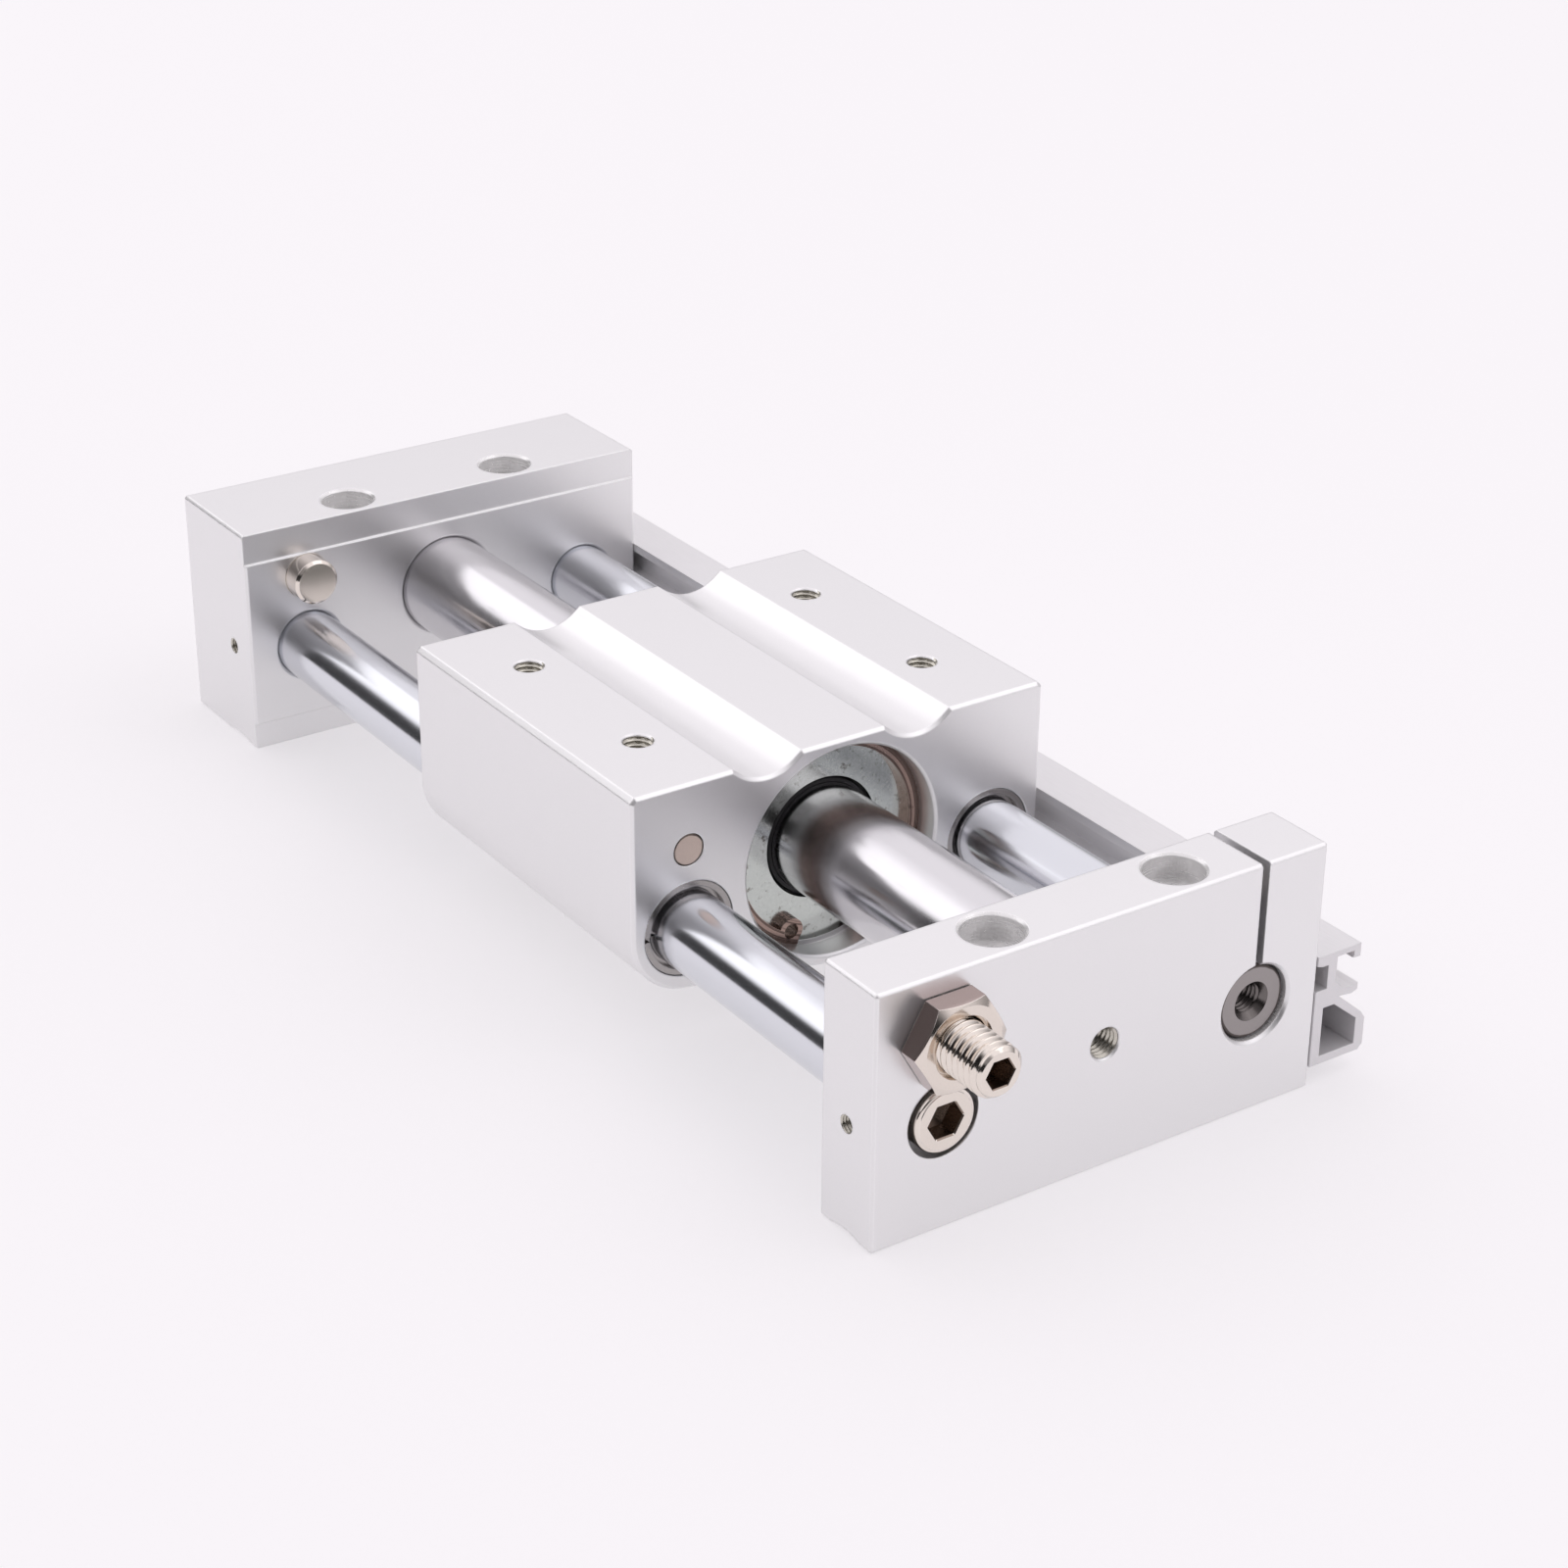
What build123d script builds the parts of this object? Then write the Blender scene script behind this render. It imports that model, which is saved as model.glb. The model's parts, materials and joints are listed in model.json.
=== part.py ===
from build123d import *
import math
import os

# Magnetically coupled rodless cylinder with a guided slide, in millimetres.
# The slide block runs along X on two rods, over a thin tube that holds a magnetic piston.
# The origin is the centre of the four base bolt holes, in the plane of the plates' feet.
# +X points out of the front plate, the one with the air ports. +Z is up.
# The switch rail is on the +Y side.

# Strokes, plates and air gaps
STROKE = 100.0
STOP_CLEARANCE = 0.3
REST_OFFSET = 3.75
PLATE_HEIGHT = 40.0
FRONT_THICKNESS = 12.0
REAR_THICKNESS = 23.5
EDGE_BREAK = 0.4
BLOCK_CLEARANCE = 1.75

# Tube and guide rods
TUBE_HEIGHT = 22.4
TUBE_RADIUS = 8.8
TUBE_WALL = 0.8
TUBE_SEAT = 7.0
ROD_RADIUS = 6.0
ROD_DROP = 4.9
ROD_FRONT_SEAT = 3.0
ROD_REAR_SEAT = 14.5
HOLLOW_ROD_RECESS = 1.0
HOLLOW_ROD_BORE = 1.75
SEAT_CLEARANCE = 0.03
SEAT_LEAD_IN = 0.5
ROD_END_BREAK = 0.5

# Slide block
BLOCK_LENGTH = 64.5
BLOCK_RISE = 1.2
BORE_WEB = 2.5
SIDE_WALL = 2.0
CORNER_RADIUS = 10.5
CORNER_RISE = 0.3
BELLY_WALL = 1.75
TOP_EDGE_BREAK = 0.8
END_EDGE_BREAK = 0.5
VALLEY_CENTRE = 13.55
VALLEY_HALF_WIDTH = 6.05
VALLEY_DEPTH = 2.6
VALLEY_ANGLE = math.radians(38.0)

# Base bolts, table threads and side threads
FRONT_HOLE_INSET = 6.0
REAR_HOLE_INSET = 6.5
BASE_SPACING_Y = 31.5
BASE_HOLE_RADIUS = 2.75
BASE_HEAD_RADIUS = 4.5
BASE_HEAD_DEPTH = 5.4
RELIEF_WIDTH = 9.0
RELIEF_DEPTH = 0.9
RELIEF_REACH = 5.0
TABLE_SPACING_X = 32.0
TABLE_SPACING_Y = 52.0
TABLE_THREAD_DEPTH = 9.0
M5_TAP = 2.1
PORT_MOUTH = 2.7
TABLE_MOUTH = 2.5
SIDE_TAP = 1.25
SIDE_THREAD_DEPTH = 4.5

# Air ports and passage
FRONT_PORT_DROP = 2.4
ROD_PORT_DEPTH = 8.0
ROD_PORT_MOUTH = 3.1
CHAMBER_STEP = 1.5
PASSAGE_RADIUS = 1.25
PASSAGE_RISE = 1.5
PASSAGE_PAST_TUBE = 4.7
PASSAGE_MARGIN = 1.0
PLUG_RADIUS = 2.0
PLUG_LENGTH = 4.0

# Rod screws, clamp screw and set screw
ROD_SCREW_RADIUS = 3.0
ROD_SCREW_CLEARANCE = 3.3
ROD_SCREW_LENGTH = 16.0
ROD_SCREW_HEAD_RADIUS = 5.0
ROD_SCREW_HEAD = 6.0
ROD_SCREW_SOCKET = 5.0
ROD_SCREW_SEAT_RADIUS = 5.9
ROD_SCREW_SEAT_DEPTH = 5.4
ROD_SCREW_HOLE = 15.0
SLIT_WIDTH = 1.4
CLAMP_INSET = 7.0
CLAMP_RADIUS = 2.0
CLAMP_CLEARANCE = 2.25
CLAMP_HEAD_RADIUS = 3.5
CLAMP_HEAD = 4.0
CLAMP_SOCKET = 3.0
CLAMP_SEAT_RADIUS = 3.8
CLAMP_SEAT_DEPTH = 4.2
CLAMP_LENGTH = 13.0
CLAMP_HOLE_SPARE = 0.5
SET_SCREW_RADIUS = 2.0
SET_SCREW_LENGTH = 8.0
SET_SCREW_INSET = 2.7
SET_SCREW_SOCKET = 2.0
SCREW_BREAK = 0.4
THREAD_PLAY = 0.02

# Stop bolts
STOP_RISE = 13.0
STOP_BOLT_RADIUS = 4.0
STOP_BOLT_SOCKET = 4.0
STOP_BOLT_BREAK = 0.8
STOP_PROTRUSION = 4.2
FRONT_BOLT_LENGTH = 28.0
REAR_BOLT_LENGTH = 39.5
LOCK_NUT_WIDTH = 13.0
LOCK_NUT_THICKNESS = 4.0
STOP_PIN_RADIUS = 2.6
STOP_PIN_LENGTH = 8.0
STOP_PIN_BREAK = 0.2

# Pad on the rear plate's inner face
PAD_STEP = 0.5
PAD_BOTTOM = 4.7
PAD_INSET = 5.4

# Bore of the slide block and what it holds, from the tube outwards
TUBE_RUNNING = 0.06
MAGNET_WALL = 8.45
MAGNET_COUNT = 4
YOKE_THICKNESS = 4.0
MAGNET_GAP = 0.6
YOKE_GAP = 0.4
BORE_LEAD_IN = 0.4
CIRCLIP_DEPTH = 4.2
CIRCLIP_THICKNESS = 1.5
CIRCLIP_GROOVE = 0.9
CIRCLIP_OVERLAP = 1.75
CIRCLIP_HALF_GAP = math.radians(18.0)
LUG_TURN = math.radians(25.0)
LUG_INSET = 2.05
LUG_RADIUS = 2.1
LUG_HOLE = 1.25
STACK_CLEARANCE = 0.1
WASHER_THICKNESS = 1.5
WASHER_GAP = 1.2
CARRIER_THICKNESS = 5.05
SCRAPER_WALL = 2.2
SCRAPER_DEPTH = 2.6
SCRAPER_LIP = 0.9
SCRAPER_LIP_REACH = 1.0
SCRAPER_LIP_TAPER = 0.3
SCRAPER_RELIEF = 0.5

# Piston, from the tube's bore inwards
SHAFT_RADIUS = 2.5
PISTON_PLAY = 0.2
INNER_MAGNET_GAP = 0.5
INNER_YOKE_GAP = 0.3
HEAD_LENGTH = 12.0
HEAD_SOCKET = 7.0
HEAD_BREAK = 0.6
SEAL_WIDTH = 2.4
SEAL_GROOVE_DEPTH = 2.0
SEAL_PLACE = 7.0
BAND_WIDTH = 3.0
BAND_GROOVE_DEPTH = 0.8
BAND_PLACE = 2.0
SLIDE_PLAY = 0.07
CUSHION_THICKNESS = 2.0
CUSHION_WALL = 2.5

# Guide bushes
BUSH_LENGTH = 20.0
BUSH_WALL = 1.0
BUSH_SET_BACK = 1.3
BUSH_SHOULDER = 0.5
BUSH_SEAM = 0.4
RING_STEP = 0.72
RING_PLAY = 0.13
RING_ROD_GAP = 0.7
RING_THICKNESS = 1.0
RING_SET_BACK = 0.15
RING_GAP = 0.9
RUNNING = 0.03

# Round seals in grooves
SEAL_SECTION = 0.8
SEAL_GROOVE = 2.2
ROD_SEAL_INSET = 7.0

# Switch magnet
SWITCH_MAGNET_RADIUS = 4.0
SWITCH_MAGNET_DEPTH = 2.0
SWITCH_MAGNET_RISE = 0.8

# Switch rail, with reaches measured out from the plates' sides and heights from its underside
RAIL_GAP = 0.05
RAIL_HEIGHT = 18.2
RAIL_REACH = 10.2
RAIL_EDGE = 0.8
RAIL_SKIN = 1.7
RAIL_FLOOR = 1.3
RAIL_SHOULDER = 5.2
RAIL_NOTCH = 10.5
RAIL_NOTCH_REACH = 4.6
RAIL_ROOF = 1.1
RAIL_WALL_IN = 2.1
RAIL_WALL_OUT = 3.7
RAIL_LIP = 0.9
RAIL_LIP_REACH = 8.2
RAIL_HOOK = 1.2
RAIL_HOOK_DROP = 2.1
RAIL_BARB = 0.4
RAIL_SLOT = 4.4
RAIL_FLANGE = 1.1
RAIL_ROOT = 1.5
RAIL_DISH = 0.3
RAIL_RECESS = 12.5
RAIL_RECESS_HEIGHT = 3.9
RAIL_SCREW_UP = 14.3
RAIL_SCREW_RADIUS = 1.5
RAIL_SCREW_PLAY = 0.1
RAIL_SCREW_LENGTH = 7.0
RAIL_HEAD_RADIUS = 2.5
RAIL_HEAD = 1.5
RAIL_SOCKET = 2.0
RAIL_SPOT = 2.7

# Radii and heights worked out from the sizes above
TUBE_BORE = TUBE_RADIUS - TUBE_WALL
ROD_HEIGHT = TUBE_HEIGHT - ROD_DROP
STOP_HEIGHT = ROD_HEIGHT + STOP_RISE
CORNER_HEIGHT = ROD_HEIGHT + CORNER_RISE
CLAMP_HEIGHT = PLATE_HEIGHT - CLAMP_INSET
PASSAGE_HEIGHT = ROD_HEIGHT + PASSAGE_RISE
BLOCK_TOP = PLATE_HEIGHT + BLOCK_RISE
RAIL_UNDERSIDE = ROD_HEIGHT - RAIL_SCREW_UP
BORE_RADIUS = TUBE_RADIUS + MAGNET_WALL
BELLY_RADIUS = BORE_RADIUS + BELLY_WALL
WASHER_HOLE = TUBE_RADIUS + WASHER_GAP
SCRAPER_OUTER = TUBE_RADIUS + SCRAPER_WALL
CIRCLIP_INNER = BORE_RADIUS - CIRCLIP_OVERLAP
LUG_PITCH = BORE_RADIUS - LUG_INSET
CHAMBER_RADIUS = TUBE_BORE - CHAMBER_STEP
BUSH_OUTER = ROD_RADIUS + RUNNING + BUSH_WALL
RING_SEAT = BUSH_OUTER + RING_STEP
SEAL_DEPTH = 2 * SEAL_SECTION + 3 * THREAD_PLAY

# Widths worked out from the bore and the bushes, outwards
ROD_SPREAD = BORE_RADIUS + BORE_WEB + RING_SEAT
BLOCK_WIDTH = 2 * (ROD_SPREAD + RING_SEAT + SIDE_WALL)
SIDE_Y = BLOCK_WIDTH / 2 + BLOCK_CLEARANCE

# Places along X
GAP = STROKE + BLOCK_LENGTH + 2 * (STOP_PROTRUSION + STOP_CLEARANCE)
BASE_SPACING_X = GAP + FRONT_THICKNESS - FRONT_HOLE_INSET + REAR_HOLE_INSET
FRONT_HOLE_X = BASE_SPACING_X / 2
REAR_HOLE_X = -BASE_SPACING_X / 2
FRONT_OUT = FRONT_HOLE_X + FRONT_HOLE_INSET
FRONT_IN = FRONT_OUT - FRONT_THICKNESS
REAR_IN = FRONT_IN - GAP
REAR_OUT = REAR_IN - REAR_THICKNESS
SLIDE_X = (FRONT_IN + REAR_IN) / 2 + REST_OFFSET
TUBE_FRONT = FRONT_IN + TUBE_SEAT
TUBE_REAR = REAR_IN - TUBE_SEAT
PASSAGE_X = TUBE_REAR - PASSAGE_PAST_TUBE
ROD_REAR = REAR_IN - ROD_REAR_SEAT
HOLLOW_ROD_REAR = PASSAGE_X + PASSAGE_RADIUS + PASSAGE_MARGIN
STACK = BLOCK_LENGTH - 2 * (CIRCLIP_DEPTH + CIRCLIP_THICKNESS + WASHER_THICKNESS + CARRIER_THICKNESS)
MAGNET_THICKNESS = (STACK - (MAGNET_COUNT + 1) * YOKE_THICKNESS) / MAGNET_COUNT


def bar(start, direction, length, radius):
    """Round bar, or round cutter, from a point along a direction."""
    return extrude(Plane(origin=start, z_dir=direction) * Circle(radius), length)


def hexagon(start, direction, length, across_flats):
    """Hexagonal bar, or socket cutter, from a point along a direction."""
    plane = Plane(origin=start, x_dir=(0, 1, 0), z_dir=direction)
    return extrude(plane * RegularPolygon(across_flats / 2, 6, major_radius=False), length)


def box(low, high):
    """Rectangular block between two corners."""
    size = [b - a for a, b in zip(low, high)]
    middle = [(a + b) / 2 for a, b in zip(low, high)]
    return Pos(*middle) * Box(*size)


def turned(points, y=0.0, z=0.0):
    """Solid turned about an axis along X through (y, z), from (x, radius) points."""
    outline = Polyline(*[(x, 0, radius) for x, radius in points], close=True)
    return Pos(0, y, z) * revolve(make_face(outline), Axis.X, 360)


def ring(x0, x1, outer, inner, y=0.0, z=0.0):
    """Plain ring between two places along X."""
    return turned([(x0, inner), (x1, inner), (x1, outer), (x0, outer)], y, z)


def seal_ring(x, inner, y, z):
    """Round-section seal that hugs a bar of the given radius."""
    centre = inner + SEAL_SECTION + THREAD_PLAY
    section = Plane.XZ * Pos(x, centre) * Circle(SEAL_SECTION)
    return Pos(0, y, z) * revolve(section, Axis.X, 360)


def mouth(x, sign, radius, outer, y, z):
    """Cutter for a 45 degree chamfer at a hole in a face that looks along sign X."""
    floor = x - sign * (outer - radius)
    return turned([(floor, 0), (floor, radius), (x + sign, outer + 1), (x + sign, 0)], y, z)


def top_mouth(x, y, z, radius, outer):
    """Cutter for a 45 degree chamfer at a hole in a face that looks up."""
    depth = outer - radius
    return Pos(x, y, z + (1 - depth) / 2) * Cone(radius, outer + 1, depth + 1)


def cap_screw(length, radius, head, head_radius, socket):
    """Socket cap screw with the top of its head at the origin, facing +X."""
    rim = 0.06 * head_radius
    tip = 0.2 * radius
    end = head + length
    body = turned(
        [
            (0, 0),
            (0, head_radius - rim),
            (-rim, head_radius),
            (-head, head_radius),
            (-head, radius),
            (tip - end, radius),
            (-end, radius - tip),
            (-end, 0),
        ]
    )
    return body - hexagon((-head / 2, 0, 0), (1, 0, 0), head, socket)


def group(*solids):
    """Several separate solids that share one node."""
    return Compound(children=list(solids))


def drilled_for_seal(x, radius, y, z):
    """Cutter for the groove of a seal around a bar of the given radius."""
    return ring(x - SEAL_GROOVE / 2, x + SEAL_GROOVE / 2, radius + SEAL_DEPTH, radius - 1, y, z)


def plate_blank(x0, x1, hole_x):
    """Plate with broken edges, base bolt holes, side threads and foot reliefs."""
    blank = box((x0, -SIDE_Y, 0), (x1, SIDE_Y, PLATE_HEIGHT))
    blank = chamfer(blank.edges(), EDGE_BREAK)
    relief_radius = (RELIEF_WIDTH**2 / 4 + RELIEF_DEPTH**2) / (2 * RELIEF_DEPTH)
    for side in (-1, 1):
        y = side * BASE_SPACING_Y / 2
        head_floor = PLATE_HEIGHT - BASE_HEAD_DEPTH
        blank -= bar((hole_x, y, -1), (0, 0, 1), PLATE_HEIGHT, BASE_HOLE_RADIUS)
        blank -= bar((hole_x, y, head_floor), (0, 0, 1), PLATE_HEIGHT, BASE_HEAD_RADIUS)
        tap = SIDE_TAP if side < 0 else RAIL_SCREW_RADIUS + THREAD_PLAY
        thread_floor = (hole_x, side * (SIDE_Y - SIDE_THREAD_DEPTH), ROD_HEIGHT)
        blank -= bar(thread_floor, (0, side, 0), 2 * SIDE_THREAD_DEPTH, tap)
        relief_start = (hole_x, side * (SIDE_Y - RELIEF_REACH), RELIEF_DEPTH - relief_radius)
        blank -= bar(relief_start, (0, side, 0), 2 * RELIEF_REACH, relief_radius)
    return blank


def front_plate():
    """Front end plate: tube seat, air port, rod seat, slit clamp and stop bolt thread."""
    plate = plate_blank(FRONT_IN, FRONT_OUT, FRONT_HOLE_X)
    inward = (-1, 0, 0)

    seat_radius = TUBE_RADIUS + SEAT_CLEARANCE
    plate -= bar((TUBE_FRONT, 0, TUBE_HEIGHT), inward, TUBE_SEAT + 1, seat_radius)
    plate -= mouth(FRONT_IN, -1, seat_radius, seat_radius + SEAT_LEAD_IN, 0, TUBE_HEIGHT)
    plate -= drilled_for_seal((FRONT_IN + TUBE_FRONT) / 2, TUBE_RADIUS, 0, TUBE_HEIGHT)
    port_height = TUBE_HEIGHT - FRONT_PORT_DROP
    plate -= bar((FRONT_OUT + 1, 0, port_height), inward, FRONT_THICKNESS - TUBE_SEAT + 2, M5_TAP)
    plate -= mouth(FRONT_OUT, 1, M5_TAP, PORT_MOUTH, 0, port_height)

    rod_radius = ROD_RADIUS + SEAT_CLEARANCE
    seat = (FRONT_IN + ROD_FRONT_SEAT, -ROD_SPREAD, ROD_HEIGHT)
    plate -= bar(seat, inward, ROD_FRONT_SEAT + 1, rod_radius)
    plate -= bar((FRONT_OUT + 1, -ROD_SPREAD, ROD_HEIGHT), inward, FRONT_THICKNESS, ROD_SCREW_CLEARANCE)
    head_floor = (FRONT_OUT - ROD_SCREW_SEAT_DEPTH, -ROD_SPREAD, ROD_HEIGHT)
    plate -= bar(head_floor, (1, 0, 0), ROD_SCREW_HEAD, ROD_SCREW_SEAT_RADIUS)
    plate -= mouth(FRONT_IN, -1, rod_radius, rod_radius + SEAT_LEAD_IN, -ROD_SPREAD, ROD_HEIGHT)

    plate -= bar((FRONT_OUT + 1, ROD_SPREAD, ROD_HEIGHT), inward, FRONT_THICKNESS + 2, rod_radius)
    plate -= mouth(FRONT_IN, -1, rod_radius, rod_radius + SEAT_LEAD_IN, ROD_SPREAD, ROD_HEIGHT)
    plate -= mouth(FRONT_OUT, 1, rod_radius, rod_radius + SEAT_LEAD_IN, ROD_SPREAD, ROD_HEIGHT)
    slit_low = (FRONT_IN - 1, ROD_SPREAD - SLIT_WIDTH / 2, ROD_HEIGHT)
    slit_high = (FRONT_OUT + 1, ROD_SPREAD + SLIT_WIDTH / 2, PLATE_HEIGHT + 1)
    plate -= box(slit_low, slit_high)

    clamp_in = SIDE_Y - CLAMP_SEAT_DEPTH - CLAMP_LENGTH - CLAMP_HOLE_SPARE
    clamp_start = (FRONT_HOLE_X, clamp_in, CLAMP_HEIGHT)
    plate -= bar(clamp_start, (0, 1, 0), ROD_SPREAD - clamp_in, CLAMP_RADIUS + THREAD_PLAY)
    plate -= bar((FRONT_HOLE_X, ROD_SPREAD, CLAMP_HEIGHT), (0, 1, 0), SIDE_Y, CLAMP_CLEARANCE)
    seat_start = (FRONT_HOLE_X, SIDE_Y - CLAMP_SEAT_DEPTH, CLAMP_HEIGHT)
    plate -= bar(seat_start, (0, 1, 0), CLAMP_SEAT_DEPTH + 1, CLAMP_SEAT_RADIUS)

    return plate - stop_hole(FRONT_IN, FRONT_OUT)


def stop_hole(x0, x1):
    """Cutter for a stop bolt's thread through a plate."""
    radius = STOP_BOLT_RADIUS + THREAD_PLAY
    return bar((x0 - 1, -ROD_SPREAD, STOP_HEIGHT), (1, 0, 0), x1 - x0 + 2, radius)


def rear_plate():
    """Rear end plate: blind seats, stop bolt thread and the air passage between rod and tube."""
    plate = plate_blank(REAR_OUT, REAR_IN, REAR_HOLE_X)
    outward = (-1, 0, 0)
    step = REAR_IN - PAD_STEP
    over = 2 * SIDE_Y
    plate -= box((step, -over, PLATE_HEIGHT - PAD_INSET), (REAR_IN + 1, over, PLATE_HEIGHT + 1))
    plate -= box((step, -over, -1), (REAR_IN + 1, over, PAD_BOTTOM))

    seat_radius = TUBE_RADIUS + SEAT_CLEARANCE
    plate -= bar((REAR_IN + 1, 0, TUBE_HEIGHT), outward, TUBE_SEAT + 1, seat_radius)
    plate -= mouth(REAR_IN, 1, seat_radius, seat_radius + SEAT_LEAD_IN, 0, TUBE_HEIGHT)
    plate -= drilled_for_seal((REAR_IN + TUBE_REAR) / 2, TUBE_RADIUS, 0, TUBE_HEIGHT)
    chamber = TUBE_REAR - PASSAGE_X + PASSAGE_RADIUS + PASSAGE_MARGIN
    plate -= bar((TUBE_REAR, 0, TUBE_HEIGHT), outward, chamber, CHAMBER_RADIUS)

    rod_radius = ROD_RADIUS + SEAT_CLEARANCE
    for side in (-1, 1):
        plate -= bar((REAR_IN + 1, side * ROD_SPREAD, ROD_HEIGHT), outward, ROD_REAR_SEAT + 1, rod_radius)
        plate -= mouth(REAR_IN, 1, rod_radius, rod_radius + SEAT_LEAD_IN, side * ROD_SPREAD, ROD_HEIGHT)
    plate -= bar((ROD_REAR + 1, -ROD_SPREAD, ROD_HEIGHT), outward, REAR_THICKNESS, ROD_SCREW_CLEARANCE)
    head_floor = (REAR_OUT + ROD_SCREW_SEAT_DEPTH, -ROD_SPREAD, ROD_HEIGHT)
    plate -= bar(head_floor, outward, ROD_SCREW_HEAD, ROD_SCREW_SEAT_RADIUS)
    plate -= drilled_for_seal(REAR_IN - ROD_SEAL_INSET, ROD_RADIUS, ROD_SPREAD, ROD_HEIGHT)

    plate -= bar((PASSAGE_X, 0, PASSAGE_HEIGHT), (0, 1, 0), over, PASSAGE_RADIUS)
    plug_floor = (PASSAGE_X, SIDE_Y - PLUG_LENGTH - THREAD_PLAY, PASSAGE_HEIGHT)
    plate -= bar(plug_floor, (0, 1, 0), 2 * PLUG_LENGTH, PLUG_RADIUS + THREAD_PLAY)
    set_screw_x = REAR_IN - SET_SCREW_INSET
    plate -= bar((set_screw_x, ROD_SPREAD, -1), (0, 0, 1), ROD_HEIGHT, SET_SCREW_RADIUS + THREAD_PLAY)
    return plate - stop_hole(REAR_OUT, REAR_IN)


def cylinder_tube():
    """Thin tube that the piston runs in."""
    return ring(TUBE_REAR, TUBE_FRONT, TUBE_RADIUS, TUBE_BORE, 0, TUBE_HEIGHT)


def guide_rod_solid():
    """Plain guide rod, tapped at both ends for its screws."""
    x0 = ROD_REAR
    x1 = FRONT_IN + ROD_FRONT_SEAT
    end = ROD_RADIUS - ROD_END_BREAK
    points = [(x0, 0), (x0, end), (x0 + ROD_END_BREAK, ROD_RADIUS)]
    points += [(x1 - ROD_END_BREAK, ROD_RADIUS), (x1, end), (x1, 0)]
    rod = turned(points, -ROD_SPREAD, ROD_HEIGHT)
    hole = ROD_SCREW_RADIUS + THREAD_PLAY
    rod -= bar((x0, -ROD_SPREAD, ROD_HEIGHT), (1, 0, 0), ROD_SCREW_HOLE, hole)
    return rod - bar((x1, -ROD_SPREAD, ROD_HEIGHT), (-1, 0, 0), ROD_SCREW_HOLE, hole)


def guide_rod_hollow():
    """Hollow guide rod that carries air to the rear end, with a port thread in its front end."""
    x0 = HOLLOW_ROD_REAR
    x1 = FRONT_OUT - HOLLOW_ROD_RECESS
    end = ROD_RADIUS - ROD_END_BREAK
    points = [(x0, HOLLOW_ROD_BORE), (x0, end), (x0 + ROD_END_BREAK, ROD_RADIUS)]
    points += [(x1 - ROD_END_BREAK, ROD_RADIUS), (x1, end), (x1, HOLLOW_ROD_BORE)]
    rod = turned(points, ROD_SPREAD, ROD_HEIGHT)
    rod -= bar((x1, ROD_SPREAD, ROD_HEIGHT), (-1, 0, 0), ROD_PORT_DEPTH, M5_TAP)
    return rod - mouth(x1, 1, M5_TAP, ROD_PORT_MOUTH, ROD_SPREAD, ROD_HEIGHT)


def rod_screw(face_x, turn):
    """Cap screw that pulls the solid rod against a plate."""
    screw = cap_screw(
        ROD_SCREW_LENGTH, ROD_SCREW_RADIUS, ROD_SCREW_HEAD, ROD_SCREW_HEAD_RADIUS, ROD_SCREW_SOCKET
    )
    return Pos(face_x, -ROD_SPREAD, ROD_HEIGHT) * Rot(0, 0, turn) * screw


def clamp_screw():
    """Cap screw across the slit that grips the hollow rod."""
    screw = cap_screw(CLAMP_LENGTH, CLAMP_RADIUS, CLAMP_HEAD, CLAMP_HEAD_RADIUS, CLAMP_SOCKET)
    top = SIDE_Y - CLAMP_SEAT_DEPTH + CLAMP_HEAD
    return Pos(FRONT_HOLE_X, top, CLAMP_HEIGHT) * Rot(0, 0, 90) * screw


def rod_set_screw():
    """Headless screw from below that holds the hollow rod in the rear plate."""
    top = ROD_HEIGHT - ROD_RADIUS
    start = (REAR_IN - SET_SCREW_INSET, ROD_SPREAD, top - SET_SCREW_LENGTH)
    screw = bar(start, (0, 0, 1), SET_SCREW_LENGTH, SET_SCREW_RADIUS)
    screw = chamfer(screw.edges().filter_by(GeomType.CIRCLE), SCREW_BREAK)
    return screw - hexagon(start, (0, 0, 1), SET_SCREW_LENGTH / 3, SET_SCREW_SOCKET)


def passage_plug():
    """Headless screw that closes the cross drilling."""
    start = (PASSAGE_X, SIDE_Y, PASSAGE_HEIGHT)
    plug = bar(start, (0, -1, 0), PLUG_LENGTH, PLUG_RADIUS)
    plug = chamfer(plug.edges().filter_by(GeomType.CIRCLE), SCREW_BREAK)
    face = Plane(origin=start, z_dir=(0, -1, 0))
    socket = face * RegularPolygon(SET_SCREW_SOCKET / 2, 6, major_radius=False)
    return plug - extrude(socket, PLUG_LENGTH / 2)


def lock_nut(face_x, sign):
    """Thin hexagon nut with both faces chamfered, on the outer side of a plate."""
    corner = LOCK_NUT_WIDTH / math.sqrt(3)
    flat = 0.95 * LOCK_NUT_WIDTH / 2
    drop = (corner - flat) * math.tan(math.radians(30))
    far = LOCK_NUT_THICKNESS
    blank = [(0, 0), (0, flat), (drop, corner), (far - drop, corner), (far, flat), (far, 0)]
    nut = hexagon((0, 0, 0), (1, 0, 0), far, LOCK_NUT_WIDTH) & turned(blank)
    nut -= bar((-1, 0, 0), (1, 0, 0), far + 2, STOP_BOLT_RADIUS + THREAD_PLAY)
    for x, side in ((0, -1), (far, 1)):
        nut -= mouth(x, side, STOP_BOLT_RADIUS, STOP_BOLT_RADIUS + SCREW_BREAK, 0, 0)
    turn = 0 if sign > 0 else 180
    return Pos(face_x, -ROD_SPREAD, STOP_HEIGHT) * Rot(0, 0, turn) * nut


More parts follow.
